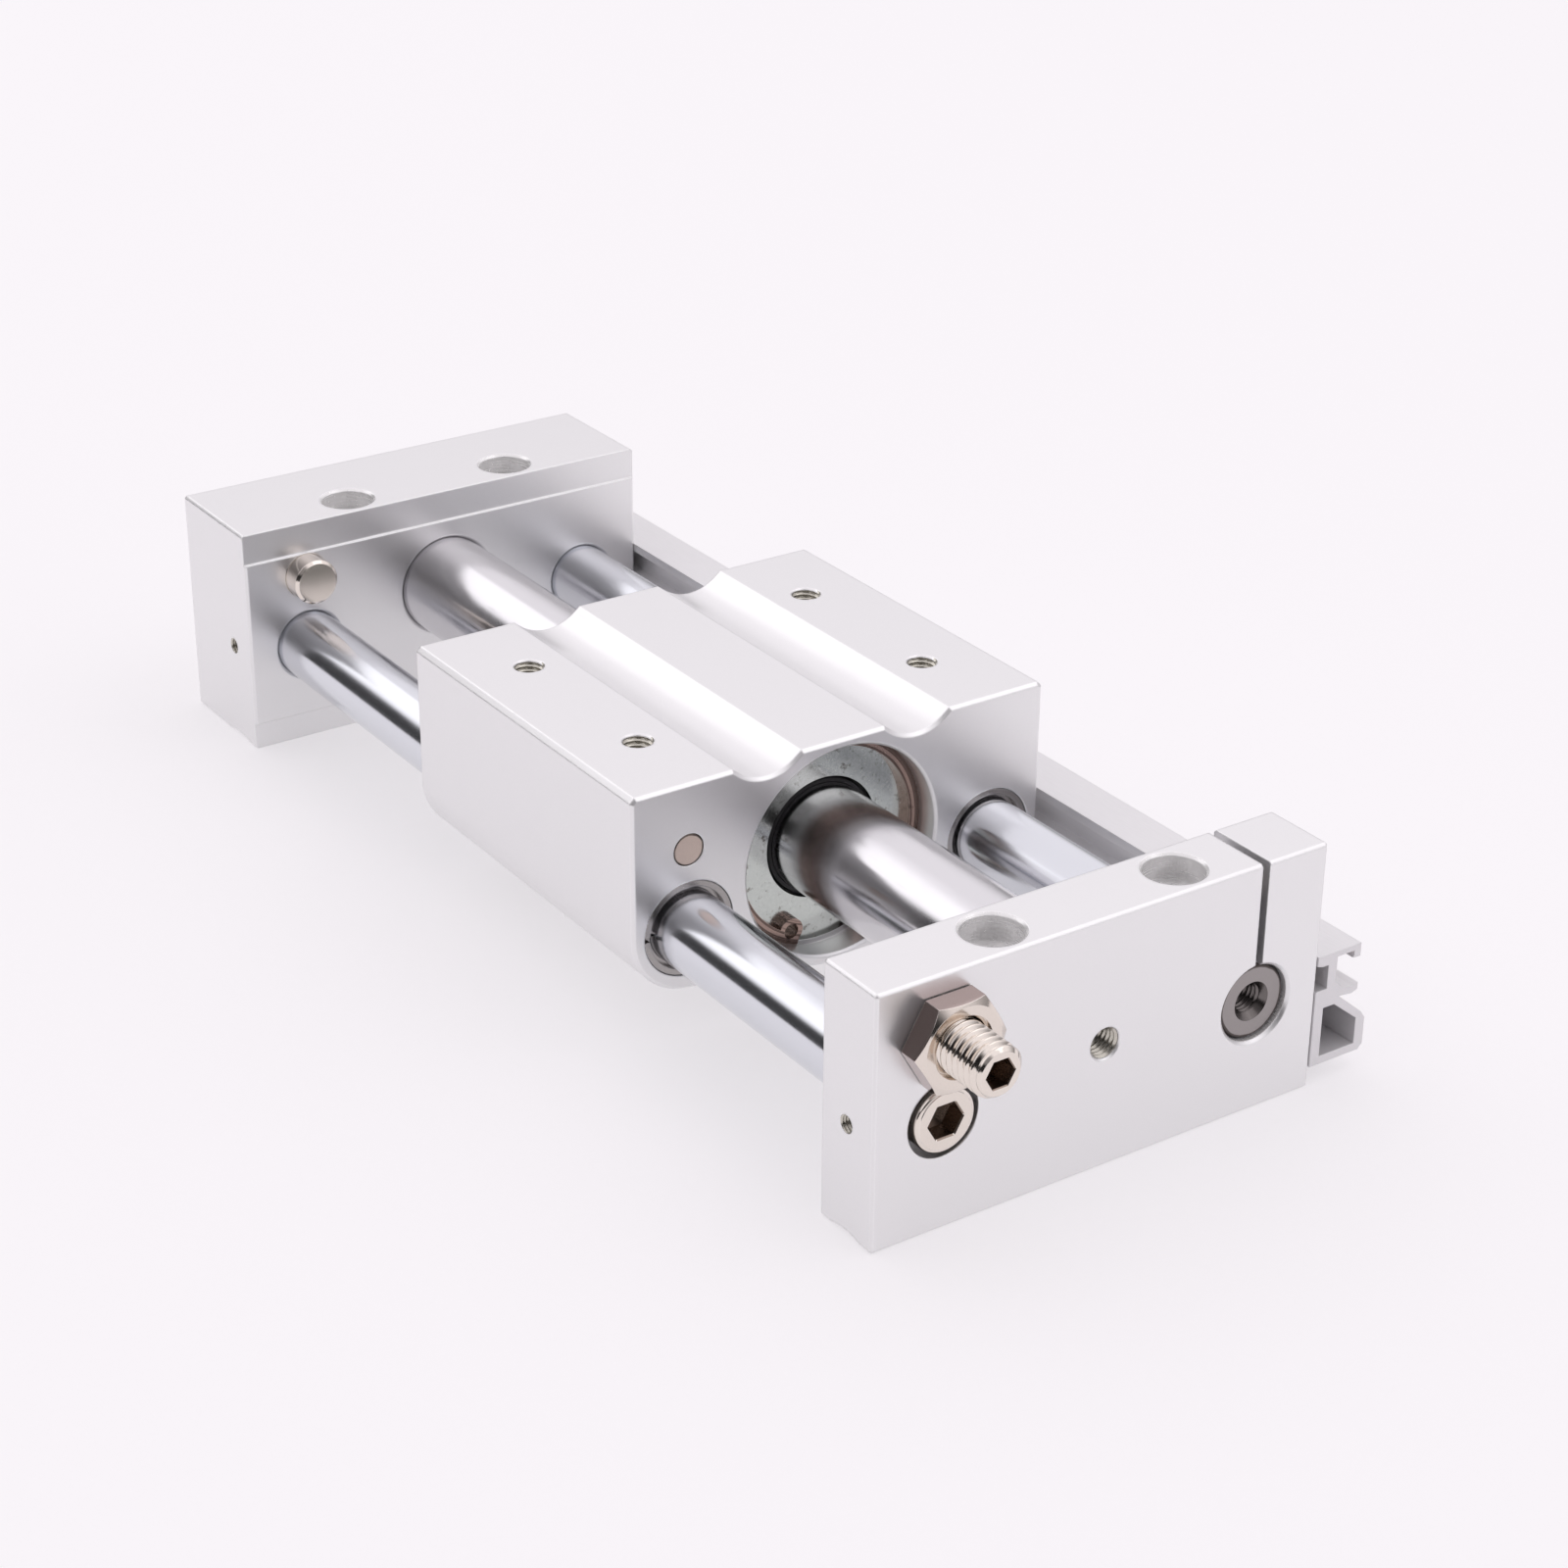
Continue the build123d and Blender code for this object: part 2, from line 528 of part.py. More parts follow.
def stop_bolt(tip_x, sign, length):
    """Threaded stop that sets the end of the stroke, with a hexagon socket at its outer end."""
    radius = STOP_BOLT_RADIUS
    edge = STOP_BOLT_BREAK
    points = [(0, 0), (0, radius - edge), (edge, radius)]
    points += [(length - edge, radius), (length, radius - edge), (length, 0)]
    bolt = turned(points) - hexagon((length - STOP_BOLT_SOCKET, 0, 0), (1, 0, 0), length, STOP_BOLT_SOCKET)
    turn = 0 if sign > 0 else 180
    return Pos(tip_x, -ROD_SPREAD, STOP_HEIGHT) * Rot(0, 0, turn) * bolt


def rail_profile():
    """Section of the switch rail, in (reach, height): a slot for the switches above a closed chamber."""
    lip_under = RAIL_HEIGHT - RAIL_LIP
    hook_in = RAIL_LIP_REACH - RAIL_HOOK
    hook_under = RAIL_HEIGHT - RAIL_HOOK_DROP
    flange_top = hook_under - RAIL_SLOT
    flange_in = RAIL_LIP_REACH - RAIL_FLANGE
    shoulder_in = RAIL_REACH - RAIL_EDGE
    recess_top = RAIL_RECESS + RAIL_RECESS_HEIGHT
    chamber_out = RAIL_REACH - RAIL_SKIN
    chamber_top = RAIL_NOTCH - RAIL_ROOF
    base = [(0, 0), (shoulder_in, 0), (RAIL_REACH, RAIL_EDGE), (RAIL_REACH, RAIL_SHOULDER)]
    base += [(shoulder_in, RAIL_SHOULDER + 1.5 * RAIL_EDGE), (RAIL_NOTCH_REACH, RAIL_NOTCH)]
    flange = [(flange_in, flange_top - RAIL_ROOT), (RAIL_LIP_REACH, flange_top - RAIL_FLANGE)]
    flange += [(RAIL_LIP_REACH, flange_top), (flange_in, flange_top - RAIL_DISH)]
    flange += [(RAIL_WALL_OUT + RAIL_ROOT, flange_top), (RAIL_WALL_OUT, flange_top + RAIL_ROOT)]
    lip = [(RAIL_WALL_OUT, lip_under), (hook_in, lip_under), (hook_in, hook_under + RAIL_BARB)]
    lip += [(hook_in - RAIL_BARB, hook_under + RAIL_BARB / 2), (hook_in, hook_under)]
    lip += [(RAIL_LIP_REACH, hook_under), (RAIL_LIP_REACH, RAIL_HEIGHT), (0, RAIL_HEIGHT)]
    back = [(0, recess_top + RAIL_DISH), (RAIL_WALL_IN / 2, recess_top), (RAIL_WALL_IN, recess_top)]
    back += [(RAIL_WALL_IN, RAIL_RECESS), (0, RAIL_RECESS)]
    chamber = [(RAIL_SKIN, RAIL_FLOOR), (chamber_out, RAIL_FLOOR)]
    chamber += [(chamber_out, RAIL_SHOULDER + RAIL_EDGE / 2)]
    chamber += [(RAIL_NOTCH_REACH - RAIL_EDGE, chamber_top), (RAIL_SKIN, chamber_top)]
    outline = make_face(Polyline(*base, *flange, *lip, *back, close=True))
    return outline - make_face(Polyline(*chamber, close=True))


def switch_rail():
    """Extruded rail that carries the position switches along the stroke."""
    plane = Plane(origin=(REAR_OUT, SIDE_Y + RAIL_GAP, RAIL_UNDERSIDE), x_dir=(0, 1, 0), z_dir=(1, 0, 0))
    rail = extrude(plane * rail_profile(), FRONT_OUT - REAR_OUT)
    wall = SIDE_Y + RAIL_GAP + RAIL_WALL_OUT
    for x in (FRONT_HOLE_X, REAR_HOLE_X):
        rail -= bar((x, 0, ROD_HEIGHT), (0, 1, 0), wall, RAIL_SCREW_RADIUS + RAIL_SCREW_PLAY)
        rail -= bar((x, wall, ROD_HEIGHT), (0, 1, 0), RAIL_REACH, RAIL_SPOT)
    return rail


def rail_screws():
    """Low head screws that hold the rail to the two plates."""
    head_top = SIDE_Y + RAIL_GAP + RAIL_WALL_OUT + RAIL_HEAD
    screw = cap_screw(RAIL_SCREW_LENGTH, RAIL_SCREW_RADIUS, RAIL_HEAD, RAIL_HEAD_RADIUS, RAIL_SOCKET)
    screw = Rot(0, 0, 90) * screw
    return group(*[Pos(x, head_top, ROD_HEIGHT) * screw for x in (FRONT_HOLE_X, REAR_HOLE_X)])


def end_cushion(x0, x1):
    """Rubber ring at the bottom of the tube."""
    return ring(x0, x1, TUBE_BORE - STACK_CLEARANCE, TUBE_BORE - CUSHION_WALL, 0, TUBE_HEIGHT)


def block_outline():
    """Cross-section of the slide block before its bores, in (y, z)."""
    half = BLOCK_WIDTH / 2
    corner_y = half - CORNER_RADIUS
    drop = TUBE_HEIGHT - CORNER_HEIGHT
    slope = math.asin((BELLY_RADIUS - CORNER_RADIUS) / math.hypot(corner_y, drop))
    slope -= math.atan2(drop, corner_y)
    mid = (math.pi / 2 - slope) / 2
    edge = TOP_EDGE_BREAK
    corner_end = (corner_y + CORNER_RADIUS * math.sin(slope), CORNER_HEIGHT - CORNER_RADIUS * math.cos(slope))
    corner_mid = (corner_y + CORNER_RADIUS * math.cos(mid), CORNER_HEIGHT - CORNER_RADIUS * math.sin(mid))
    belly_end = (BELLY_RADIUS * math.sin(slope), TUBE_HEIGHT - BELLY_RADIUS * math.cos(slope))
    right = [
        ThreePointArc((0, TUBE_HEIGHT - BELLY_RADIUS), belly_arc_middle(slope), belly_end),
        Line(belly_end, corner_end),
        ThreePointArc(corner_end, corner_mid, (half, CORNER_HEIGHT)),
        Polyline((half, CORNER_HEIGHT), (half, BLOCK_TOP - edge), (half - edge, BLOCK_TOP), (0, BLOCK_TOP)),
    ]
    half_face = make_face(right + [Line((0, BLOCK_TOP), (0, TUBE_HEIGHT - BELLY_RADIUS))])
    return half_face + mirror(half_face, Plane.YZ)


def belly_arc_middle(slope):
    """Point half way along one side of the belly arc."""
    return (BELLY_RADIUS * math.sin(slope / 2), TUBE_HEIGHT - BELLY_RADIUS * math.cos(slope / 2))


def valley_outline(side):
    """Round-bottomed valley cut along the top of the slide block, in (y, z)."""
    tangent = math.tan(VALLEY_ANGLE)
    radius = (VALLEY_HALF_WIDTH * tangent - VALLEY_DEPTH) / (1 / math.cos(VALLEY_ANGLE) - 1)
    bottom = BLOCK_TOP - VALLEY_DEPTH
    reach = radius * math.sin(VALLEY_ANGLE)
    rise = radius * (1 - math.cos(VALLEY_ANGLE))
    over = VALLEY_HALF_WIDTH + 1 / tangent
    y = side * VALLEY_CENTRE
    left = (y - reach, bottom + rise)
    right = (y + reach, bottom + rise)
    arc = ThreePointArc(left, (y, bottom), right)
    rim = Polyline(right, (y + over, BLOCK_TOP + 1), (y - over, BLOCK_TOP + 1), left)
    return make_face([arc, rim])


def slide_block():
    """Carriage: belly and corner arcs, two valleys, stepped bores and table threads."""
    x0 = SLIDE_X - BLOCK_LENGTH / 2
    x1 = SLIDE_X + BLOCK_LENGTH / 2
    start = Plane(origin=(x0, 0, 0), x_dir=(0, 1, 0), z_dir=(1, 0, 0))
    outline = block_outline() - valley_outline(-1) - valley_outline(1)
    block = extrude(start * outline, BLOCK_LENGTH)
    ends = block.faces().sort_by(Axis.X)
    block = chamfer(ends[0].edges() + ends[-1].edges(), END_EDGE_BREAK)
    block -= bar((x0 - 1, 0, TUBE_HEIGHT), (1, 0, 0), BLOCK_LENGTH + 2, BORE_RADIUS)
    for y in (-ROD_SPREAD, ROD_SPREAD):
        block -= bar((x0 - 1, y, ROD_HEIGHT), (1, 0, 0), BLOCK_LENGTH + 2, ROD_RADIUS + BUSH_SHOULDER)
    for side in (-1, 1):
        block -= mouth(block_face(side, 0), side, BORE_RADIUS, BORE_RADIUS + BORE_LEAD_IN, 0, TUBE_HEIGHT)
        groove_start = block_face(side, CIRCLIP_DEPTH)
        groove_end = block_face(side, CIRCLIP_DEPTH + CIRCLIP_THICKNESS + STACK_CLEARANCE / 2)
        groove = BORE_RADIUS + CIRCLIP_GROOVE
        block -= ring(groove_start, groove_end, groove, BORE_RADIUS - 1, 0, TUBE_HEIGHT)
        bush_end = BUSH_SET_BACK + BUSH_LENGTH
        pin_start = (block_face(side, STOP_PIN_LENGTH), -ROD_SPREAD, STOP_HEIGHT)
        block -= bar(pin_start, (side, 0, 0), STOP_PIN_LENGTH + 1, STOP_PIN_RADIUS + THREAD_PLAY)
        for y in (-ROD_SPREAD, ROD_SPREAD):
            bush_floor = (block_face(side, bush_end), y, ROD_HEIGHT)
            ring_floor = (block_face(side, BUSH_SET_BACK), y, ROD_HEIGHT)
            block -= bar(bush_floor, (side, 0, 0), bush_end + 1, BUSH_OUTER + THREAD_PLAY)
            block -= bar(ring_floor, (side, 0, 0), BUSH_SET_BACK + 1, RING_SEAT)
        for y in (-TABLE_SPACING_Y / 2, TABLE_SPACING_Y / 2):
            x = SLIDE_X + side * TABLE_SPACING_X / 2
            block -= bar((x, y, BLOCK_TOP - TABLE_THREAD_DEPTH), (0, 0, 1), 2 * TABLE_THREAD_DEPTH, M5_TAP)
            block -= top_mouth(x, y, BLOCK_TOP, M5_TAP, TABLE_MOUTH)
    pocket = (SLIDE_X, BLOCK_WIDTH / 2 - SWITCH_MAGNET_DEPTH, ROD_HEIGHT + SWITCH_MAGNET_RISE)
    return block - bar(pocket, (0, 1, 0), 2 * SWITCH_MAGNET_DEPTH, SWITCH_MAGNET_RADIUS + THREAD_PLAY)


def block_face(side, depth):
    """Place along X at a depth inside the slide block, from its front or rear face."""
    return SLIDE_X + side * (BLOCK_LENGTH / 2 - depth)


def guide_bush(side, y):
    """Wrapped slide bush with its seam on the outer side."""
    x = sorted([block_face(side, BUSH_SET_BACK), block_face(side, BUSH_SET_BACK + BUSH_LENGTH)])
    bush = ring(x[0], x[1], BUSH_OUTER, BUSH_OUTER - BUSH_WALL, y, ROD_HEIGHT)
    return bush - seam_cutter(x[0], x[1], y, BUSH_SEAM)


def seam_cutter(x0, x1, y, width):
    """Cutter for the open seam of a split ring, on the side away from the tube."""
    out = math.copysign(BUSH_OUTER + 2, y)
    ys = sorted([y, y + out])
    return box((x0 - 1, ys[0], ROD_HEIGHT - width / 2), (x1 + 1, ys[1], ROD_HEIGHT + width / 2))


def bush_rings():
    """Split rings that keep the four bushes in."""
    rings = []
    for side in (-1, 1):
        x = sorted([block_face(side, RING_SET_BACK), block_face(side, RING_SET_BACK + RING_THICKNESS)])
        for y in (-ROD_SPREAD, ROD_SPREAD):
            whole = ring(x[0], x[1], RING_SEAT - RING_PLAY, ROD_RADIUS + RING_ROD_GAP, y, ROD_HEIGHT)
            rings.append(whole - seam_cutter(x[0], x[1], y, RING_GAP))
    return group(*rings)


def circlip(side):
    """Internal retaining ring with two pierced lugs, open at the bottom."""
    outer = BORE_RADIUS + CIRCLIP_GROOVE - STACK_CLEARANCE
    down = -math.pi / 2
    reach = 2 * BORE_RADIUS
    edges = [down - CIRCLIP_HALF_GAP, down + CIRCLIP_HALF_GAP]
    wedge = Polyline((0, 0), *[(reach * math.cos(a), reach * math.sin(a)) for a in edges], close=True)
    shape = Circle(outer) - Circle(CIRCLIP_INNER) - make_face(wedge)
    for turn in (-LUG_TURN, LUG_TURN):
        place = Pos(LUG_PITCH * math.cos(down + turn), LUG_PITCH * math.sin(down + turn))
        shape += place * Circle(LUG_RADIUS)
        shape -= place * Circle(LUG_HOLE)
    x0 = min(block_face(side, CIRCLIP_DEPTH), block_face(side, CIRCLIP_DEPTH + CIRCLIP_THICKNESS))
    plane = Plane(origin=(x0, 0, TUBE_HEIGHT), x_dir=(0, 1, 0), z_dir=(1, 0, 0))
    return extrude(plane * shape, CIRCLIP_THICKNESS)


def stack_ring(side, depth, thickness, inner):
    """Ring of the stack in the slide block's bore."""
    x = sorted([block_face(side, depth), block_face(side, depth + thickness)])
    return ring(x[0], x[1], BORE_RADIUS - STACK_CLEARANCE, inner, 0, TUBE_HEIGHT)


def end_washer(side):
    """Plated washer that the circlip holds in."""
    return stack_ring(side, CIRCLIP_DEPTH + CIRCLIP_THICKNESS, WASHER_THICKNESS, WASHER_HOLE)


def wear_carrier(side):
    """Plastic ring that runs on the tube and holds the scraper."""
    depth = CIRCLIP_DEPTH + CIRCLIP_THICKNESS + WASHER_THICKNESS
    carrier = stack_ring(side, depth, CARRIER_THICKNESS, TUBE_RADIUS + TUBE_RUNNING)
    pocket = sorted([block_face(side, depth - 1), block_face(side, depth + SCRAPER_DEPTH)])
    return carrier - ring(pocket[0], pocket[1], SCRAPER_OUTER, TUBE_RADIUS - 1, 0, TUBE_HEIGHT)


def scraper(side):
    """Rubber scraper: a base in the carrier and a lip that reaches into the washer's hole."""
    depth = CIRCLIP_DEPTH + CIRCLIP_THICKNESS + WASHER_THICKNESS
    back = block_face(side, depth + SCRAPER_DEPTH - STACK_CLEARANCE / 2)
    front = block_face(side, depth + STACK_CLEARANCE / 2)
    lip = block_face(side, depth - SCRAPER_LIP_REACH)
    inner = TUBE_RADIUS + TUBE_RUNNING
    base = SCRAPER_OUTER - STACK_CLEARANCE
    points = [(back, inner + SCRAPER_RELIEF), (back, base), (front, base)]
    points += [(front, inner + SCRAPER_LIP), (lip, inner + SCRAPER_LIP - SCRAPER_LIP_TAPER), (lip, inner)]
    return turned(points, 0, TUBE_HEIGHT)


def magnet_stack(yoke_outer, yoke_inner, magnet_outer, magnet_inner):
    """Alternate yoke and magnet rings centred on the slide block: two lists of solids."""
    yokes = []
    magnets = []
    x = SLIDE_X - STACK / 2
    for index in range(2 * MAGNET_COUNT + 1):
        if index % 2 == 0:
            yokes.append(ring(x, x + YOKE_THICKNESS, yoke_outer, yoke_inner, 0, TUBE_HEIGHT))
            x += YOKE_THICKNESS
        else:
            magnets.append(ring(x, x + MAGNET_THICKNESS, magnet_outer, magnet_inner, 0, TUBE_HEIGHT))
            x += MAGNET_THICKNESS
    return yokes, magnets


def stop_pin(side):
    """Pin in the slide block's end that meets the stop bolt."""
    start = (block_face(side, STOP_PIN_LENGTH), -ROD_SPREAD, STOP_HEIGHT)
    pin = bar(start, (side, 0, 0), STOP_PIN_LENGTH, STOP_PIN_RADIUS)
    return chamfer(pin.edges().filter_by(GeomType.CIRCLE), STOP_PIN_BREAK)


def switch_magnet():
    """Magnet let into the block's side that works the position switches."""
    start = (SLIDE_X, BLOCK_WIDTH / 2 - SWITCH_MAGNET_DEPTH, ROD_HEIGHT + SWITCH_MAGNET_RISE)
    return bar(start, (0, 1, 0), SWITCH_MAGNET_DEPTH, SWITCH_MAGNET_RADIUS)


def head_place(side, depth):
    """Place along X inside a piston head, from its face on the magnet stack."""
    return SLIDE_X + side * (STACK / 2 + depth)


def piston_shaft():
    """Shaft through the inner stack, screwed into both heads."""
    x0 = head_place(-1, HEAD_SOCKET)
    x1 = head_place(1, HEAD_SOCKET)
    return bar((x0, 0, TUBE_HEIGHT), (1, 0, 0), x1 - x0, SHAFT_RADIUS)


def piston_head(side):
    """Piston head with a groove for its seal and one for its wear band."""
    outer = TUBE_BORE - PISTON_PLAY
    seat = head_place(side, 0)
    head = bar((seat, 0, TUBE_HEIGHT), (side, 0, 0), HEAD_LENGTH, outer)
    head = chamfer(head.faces().sort_by(Axis.X)[-1 if side > 0 else 0].edges(), HEAD_BREAK)
    socket = (seat - side, 0, TUBE_HEIGHT)
    head -= bar(socket, (side, 0, 0), HEAD_SOCKET + 1 + THREAD_PLAY, SHAFT_RADIUS + THREAD_PLAY)
    grooves = ((SEAL_PLACE, SEAL_WIDTH, SEAL_GROOVE_DEPTH), (BAND_PLACE, BAND_WIDTH, BAND_GROOVE_DEPTH))
    for place, width, depth in grooves:
        x = sorted([head_place(side, place), head_place(side, place + width)])
        head -= ring(x[0], x[1], outer + 1, TUBE_BORE - depth, 0, TUBE_HEIGHT)
    return head


def piston_ring(side, place, width, depth):
    """Seal or wear band in a piston head's groove."""
    x = sorted([head_place(side, place + STACK_CLEARANCE), head_place(side, place + width - STACK_CLEARANCE)])
    return ring(x[0], x[1], TUBE_BORE - SLIDE_PLAY, TUBE_BORE - depth + THREAD_PLAY, 0, TUBE_HEIGHT)


os.makedirs("parts", exist_ok=True)

stack_outer = BORE_RADIUS - STACK_CLEARANCE
stack_inner = SHAFT_RADIUS + THREAD_PLAY
outer_yokes, outer_magnets = magnet_stack(
    stack_outer, TUBE_RADIUS + YOKE_GAP, stack_outer, TUBE_RADIUS + MAGNET_GAP
)
inner_yokes, inner_magnets = magnet_stack(
    TUBE_BORE - INNER_YOKE_GAP, stack_inner, TUBE_BORE - INNER_MAGNET_GAP, stack_inner
)

nodes = {
    "front_plate": front_plate(),
    "rear_plate": rear_plate(),
    "cylinder_tube": cylinder_tube(),
    "guide_rod_solid": guide_rod_solid(),
    "guide_rod_hollow": guide_rod_hollow(),
    "rod_screw_front": rod_screw(FRONT_OUT - ROD_SCREW_SEAT_DEPTH + ROD_SCREW_HEAD, 0),
    "rod_screw_rear": rod_screw(REAR_OUT + ROD_SCREW_SEAT_DEPTH - ROD_SCREW_HEAD, 180),
    "clamp_screw": clamp_screw(),
    "rod_set_screw": rod_set_screw(),
    "passage_plug": passage_plug(),
    "lock_nut_front": lock_nut(FRONT_OUT, 1),
    "lock_nut_rear": lock_nut(REAR_OUT, -1),
    "stop_bolt_front": stop_bolt(FRONT_IN - STOP_PROTRUSION, 1, FRONT_BOLT_LENGTH),
    "stop_bolt_rear": stop_bolt(REAR_IN + STOP_PROTRUSION, -1, REAR_BOLT_LENGTH),
    "tube_seal_front": seal_ring((FRONT_IN + TUBE_FRONT) / 2, TUBE_RADIUS, 0, TUBE_HEIGHT),
    "tube_seal_rear": seal_ring((REAR_IN + TUBE_REAR) / 2, TUBE_RADIUS, 0, TUBE_HEIGHT),
    "hollow_rod_seal": seal_ring(REAR_IN - ROD_SEAL_INSET, ROD_RADIUS, ROD_SPREAD, ROD_HEIGHT),
    "end_cushion_front": end_cushion(TUBE_FRONT - CUSHION_THICKNESS, TUBE_FRONT),
    "end_cushion_rear": end_cushion(TUBE_REAR, TUBE_REAR + CUSHION_THICKNESS),
    "switch_rail": switch_rail(),
    "rail_screws": rail_screws(),
    "slide_block": slide_block(),
    "bush_rings": bush_rings(),
    "outer_yokes": group(*outer_yokes),
    "outer_magnets": group(*outer_magnets),
    "switch_magnet": switch_magnet(),
    "inner_yokes": group(*inner_yokes),
    "inner_magnets": group(*inner_magnets),
    "piston_shaft": piston_shaft(),
}
for side, end in ((1, "front"), (-1, "rear")):
    nodes["circlip_" + end] = circlip(side)
    nodes["end_washer_" + end] = end_washer(side)
    nodes["wear_carrier_" + end] = wear_carrier(side)
    nodes["scraper_" + end] = scraper(side)
    nodes["stop_pin_" + end] = stop_pin(side)
    nodes["guide_bush_" + end + "_left"] = guide_bush(side, -ROD_SPREAD)
    nodes["guide_bush_" + end + "_right"] = guide_bush(side, ROD_SPREAD)
    nodes["piston_head_" + end] = piston_head(side)
    nodes["piston_seal_" + end] = piston_ring(side, SEAL_PLACE, SEAL_WIDTH, SEAL_GROOVE_DEPTH)
    nodes["piston_band_" + end] = piston_ring(side, BAND_PLACE, BAND_WIDTH, BAND_GROOVE_DEPTH)

for name, shape in nodes.items():
    export_step(shape, f"parts/{name}.step")
print(len(nodes), "nodes")
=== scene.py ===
# %% [markdown]
# A magnetic rodless cylinder: two end plates hold a thin tube and two guide rods, and a slide block
# with strong magnets follows the piston inside the tube. The CAD model gives every piece its real
# shape, size and place. This script dresses it: the camera, the light, the metal finishes, and the
# fine turned work such as screw threads and polished rods, which CAD leaves plain.
#
# The model comes with flat colours. They are removed first, so that only the finishes made below stay in
# the scene. Shapes are written in millimetres and multiplied by MM. The places of the camera and the
# lamps and the sizes of patterns are in metres, as Blender counts.

import json
import math

import bmesh
import bpy
from mathutils import Matrix, Vector


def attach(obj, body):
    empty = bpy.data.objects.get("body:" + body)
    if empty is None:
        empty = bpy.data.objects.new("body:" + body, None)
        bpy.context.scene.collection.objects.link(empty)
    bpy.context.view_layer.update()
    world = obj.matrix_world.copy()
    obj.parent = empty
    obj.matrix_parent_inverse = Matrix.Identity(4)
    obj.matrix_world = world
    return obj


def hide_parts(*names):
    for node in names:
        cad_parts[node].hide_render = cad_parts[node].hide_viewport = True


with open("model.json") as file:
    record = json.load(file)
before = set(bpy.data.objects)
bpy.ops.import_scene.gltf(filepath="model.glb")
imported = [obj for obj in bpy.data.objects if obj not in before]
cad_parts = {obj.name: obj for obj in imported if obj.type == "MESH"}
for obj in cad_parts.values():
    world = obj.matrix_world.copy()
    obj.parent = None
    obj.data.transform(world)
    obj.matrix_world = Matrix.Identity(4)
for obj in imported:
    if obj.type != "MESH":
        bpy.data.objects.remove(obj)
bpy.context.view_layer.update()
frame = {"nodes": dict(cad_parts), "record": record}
for item in frame["nodes"].values():
    item.data.materials.clear()
for leftover in list(bpy.data.materials):
    bpy.data.materials.remove(leftover)
scene = bpy.context.scene
scene.view_settings.view_transform = "Standard"
MM = 0.001

# %% [markdown]
# The photograph looks down on the front corner from a short distance. A camera needs a place, a
# direction and a focal length. Here the direction is given by two angles, how far round the part the
# camera stands and how high, plus a slight lean of the horizon, because these are easy to adjust.

# %% Camera
FOCAL_PIXELS = 3356.3
IMAGE_PIXELS = 1600
SENSOR = 36.0
CAMERA_PLACE = Vector((0.39440, -0.25478, 0.25212))
AROUND = 0.97287
UP_ANGLE = 0.46141
LEAN = 0.00785
NEAREST_SEEN = 0.01
FARTHEST_SEEN = 50.0

backwards = Vector((math.sin(AROUND) * math.cos(UP_ANGLE),
                    -math.cos(AROUND) * math.cos(UP_ANGLE),
                    math.sin(UP_ANGLE)))
level = Vector((math.cos(AROUND), math.sin(AROUND), 0.0))
upright = backwards.cross(level)
to_right = level * math.cos(LEAN) + upright * math.sin(LEAN)
to_top = upright * math.cos(LEAN) - level * math.sin(LEAN)

lens = bpy.data.cameras.new("photo_camera")
lens.sensor_width = SENSOR
lens.lens = FOCAL_PIXELS * SENSOR / IMAGE_PIXELS
lens.clip_start = NEAREST_SEEN
lens.clip_end = FARTHEST_SEEN
camera = bpy.data.objects.new("photo_camera", lens)
scene.collection.objects.link(camera)
facing = Matrix((to_right, to_top, backwards)).transposed().to_4x4()
camera.matrix_world = Matrix.Translation(CAMERA_PLACE) @ facing
scene.camera = camera
print("lens in mm:", round(lens.lens, 2))

# %% [markdown]
# Every finish is a graph of nodes, and a graph written out in full is long. A few helpers keep it
# short: one adds a node, one fills its inputs, one joins two sockets, and the others do sums. The
# ramp turns a value into a smooth or straight passage between two levels.

# %% Node helpers


def add(tree, kind, x=0, **settings):
    node = tree.nodes.new(kind)
    node.location = (x, 0)
    for name, value in settings.items():
        setattr(node, name, value)
    return node


def fill(node, **values):
    for name, value in values.items():
        node.inputs[name.replace("_", " ")].default_value = value
    return node


def join(tree, source, target):
    tree.links.new(source, target)


def calculate(tree, operation, *inputs):
    node = add(tree, "ShaderNodeMath", operation=operation)
    for place, value in enumerate(inputs):
        if isinstance(value, (int, float)):
            node.inputs[place].default_value = value
        else:
            join(tree, value, node.inputs[place])
    return node.outputs[0]


def plus(tree, first, second):
    return calculate(tree, "ADD", first, second)


def minus(tree, first, second):
    return calculate(tree, "SUBTRACT", first, second)


def times(tree, first, second):
    return calculate(tree, "MULTIPLY", first, second)


def over(tree, first, second):
    return calculate(tree, "DIVIDE", first, second)


def ramp(tree, value, low, high, from_value=0.0, to_value=1.0, shape="SMOOTHSTEP"):
    node = add(tree, "ShaderNodeMapRange", interpolation_type=shape)
    fill(node, From_Min=low, From_Max=high, To_Min=from_value, To_Max=to_value)
    join(tree, value, node.inputs["Value"])
    return node.outputs["Result"]


def new_material(name):
    material = bpy.data.materials.new(name)
    material.use_nodes = True
    tree = material.node_tree
    tree.nodes.clear()
    shader = add(tree, "ShaderNodeBsdfPrincipled", 600)
    output = add(tree, "ShaderNodeOutputMaterial", 900)
    join(tree, shader.outputs["BSDF"], output.inputs["Surface"])
    return material, tree, shader


# %% [markdown]
# The part stands on white paper that curves out of sight, lit like a small product shot. A plain
# pale floor does the same work. Its colour alone makes it white: rays from the camera and from
# polished metal see part of it as plain white, so no extra light is needed, and the shadow of the
# part still shows.

# %% Floor
FLOOR_HALF = 6.0
PAPER_WHITE = 0.56
PAPER_TONES = (0.94, 0.96)
PAPER_GREEN = 0.975
FIBRE_SCALE = 900.0

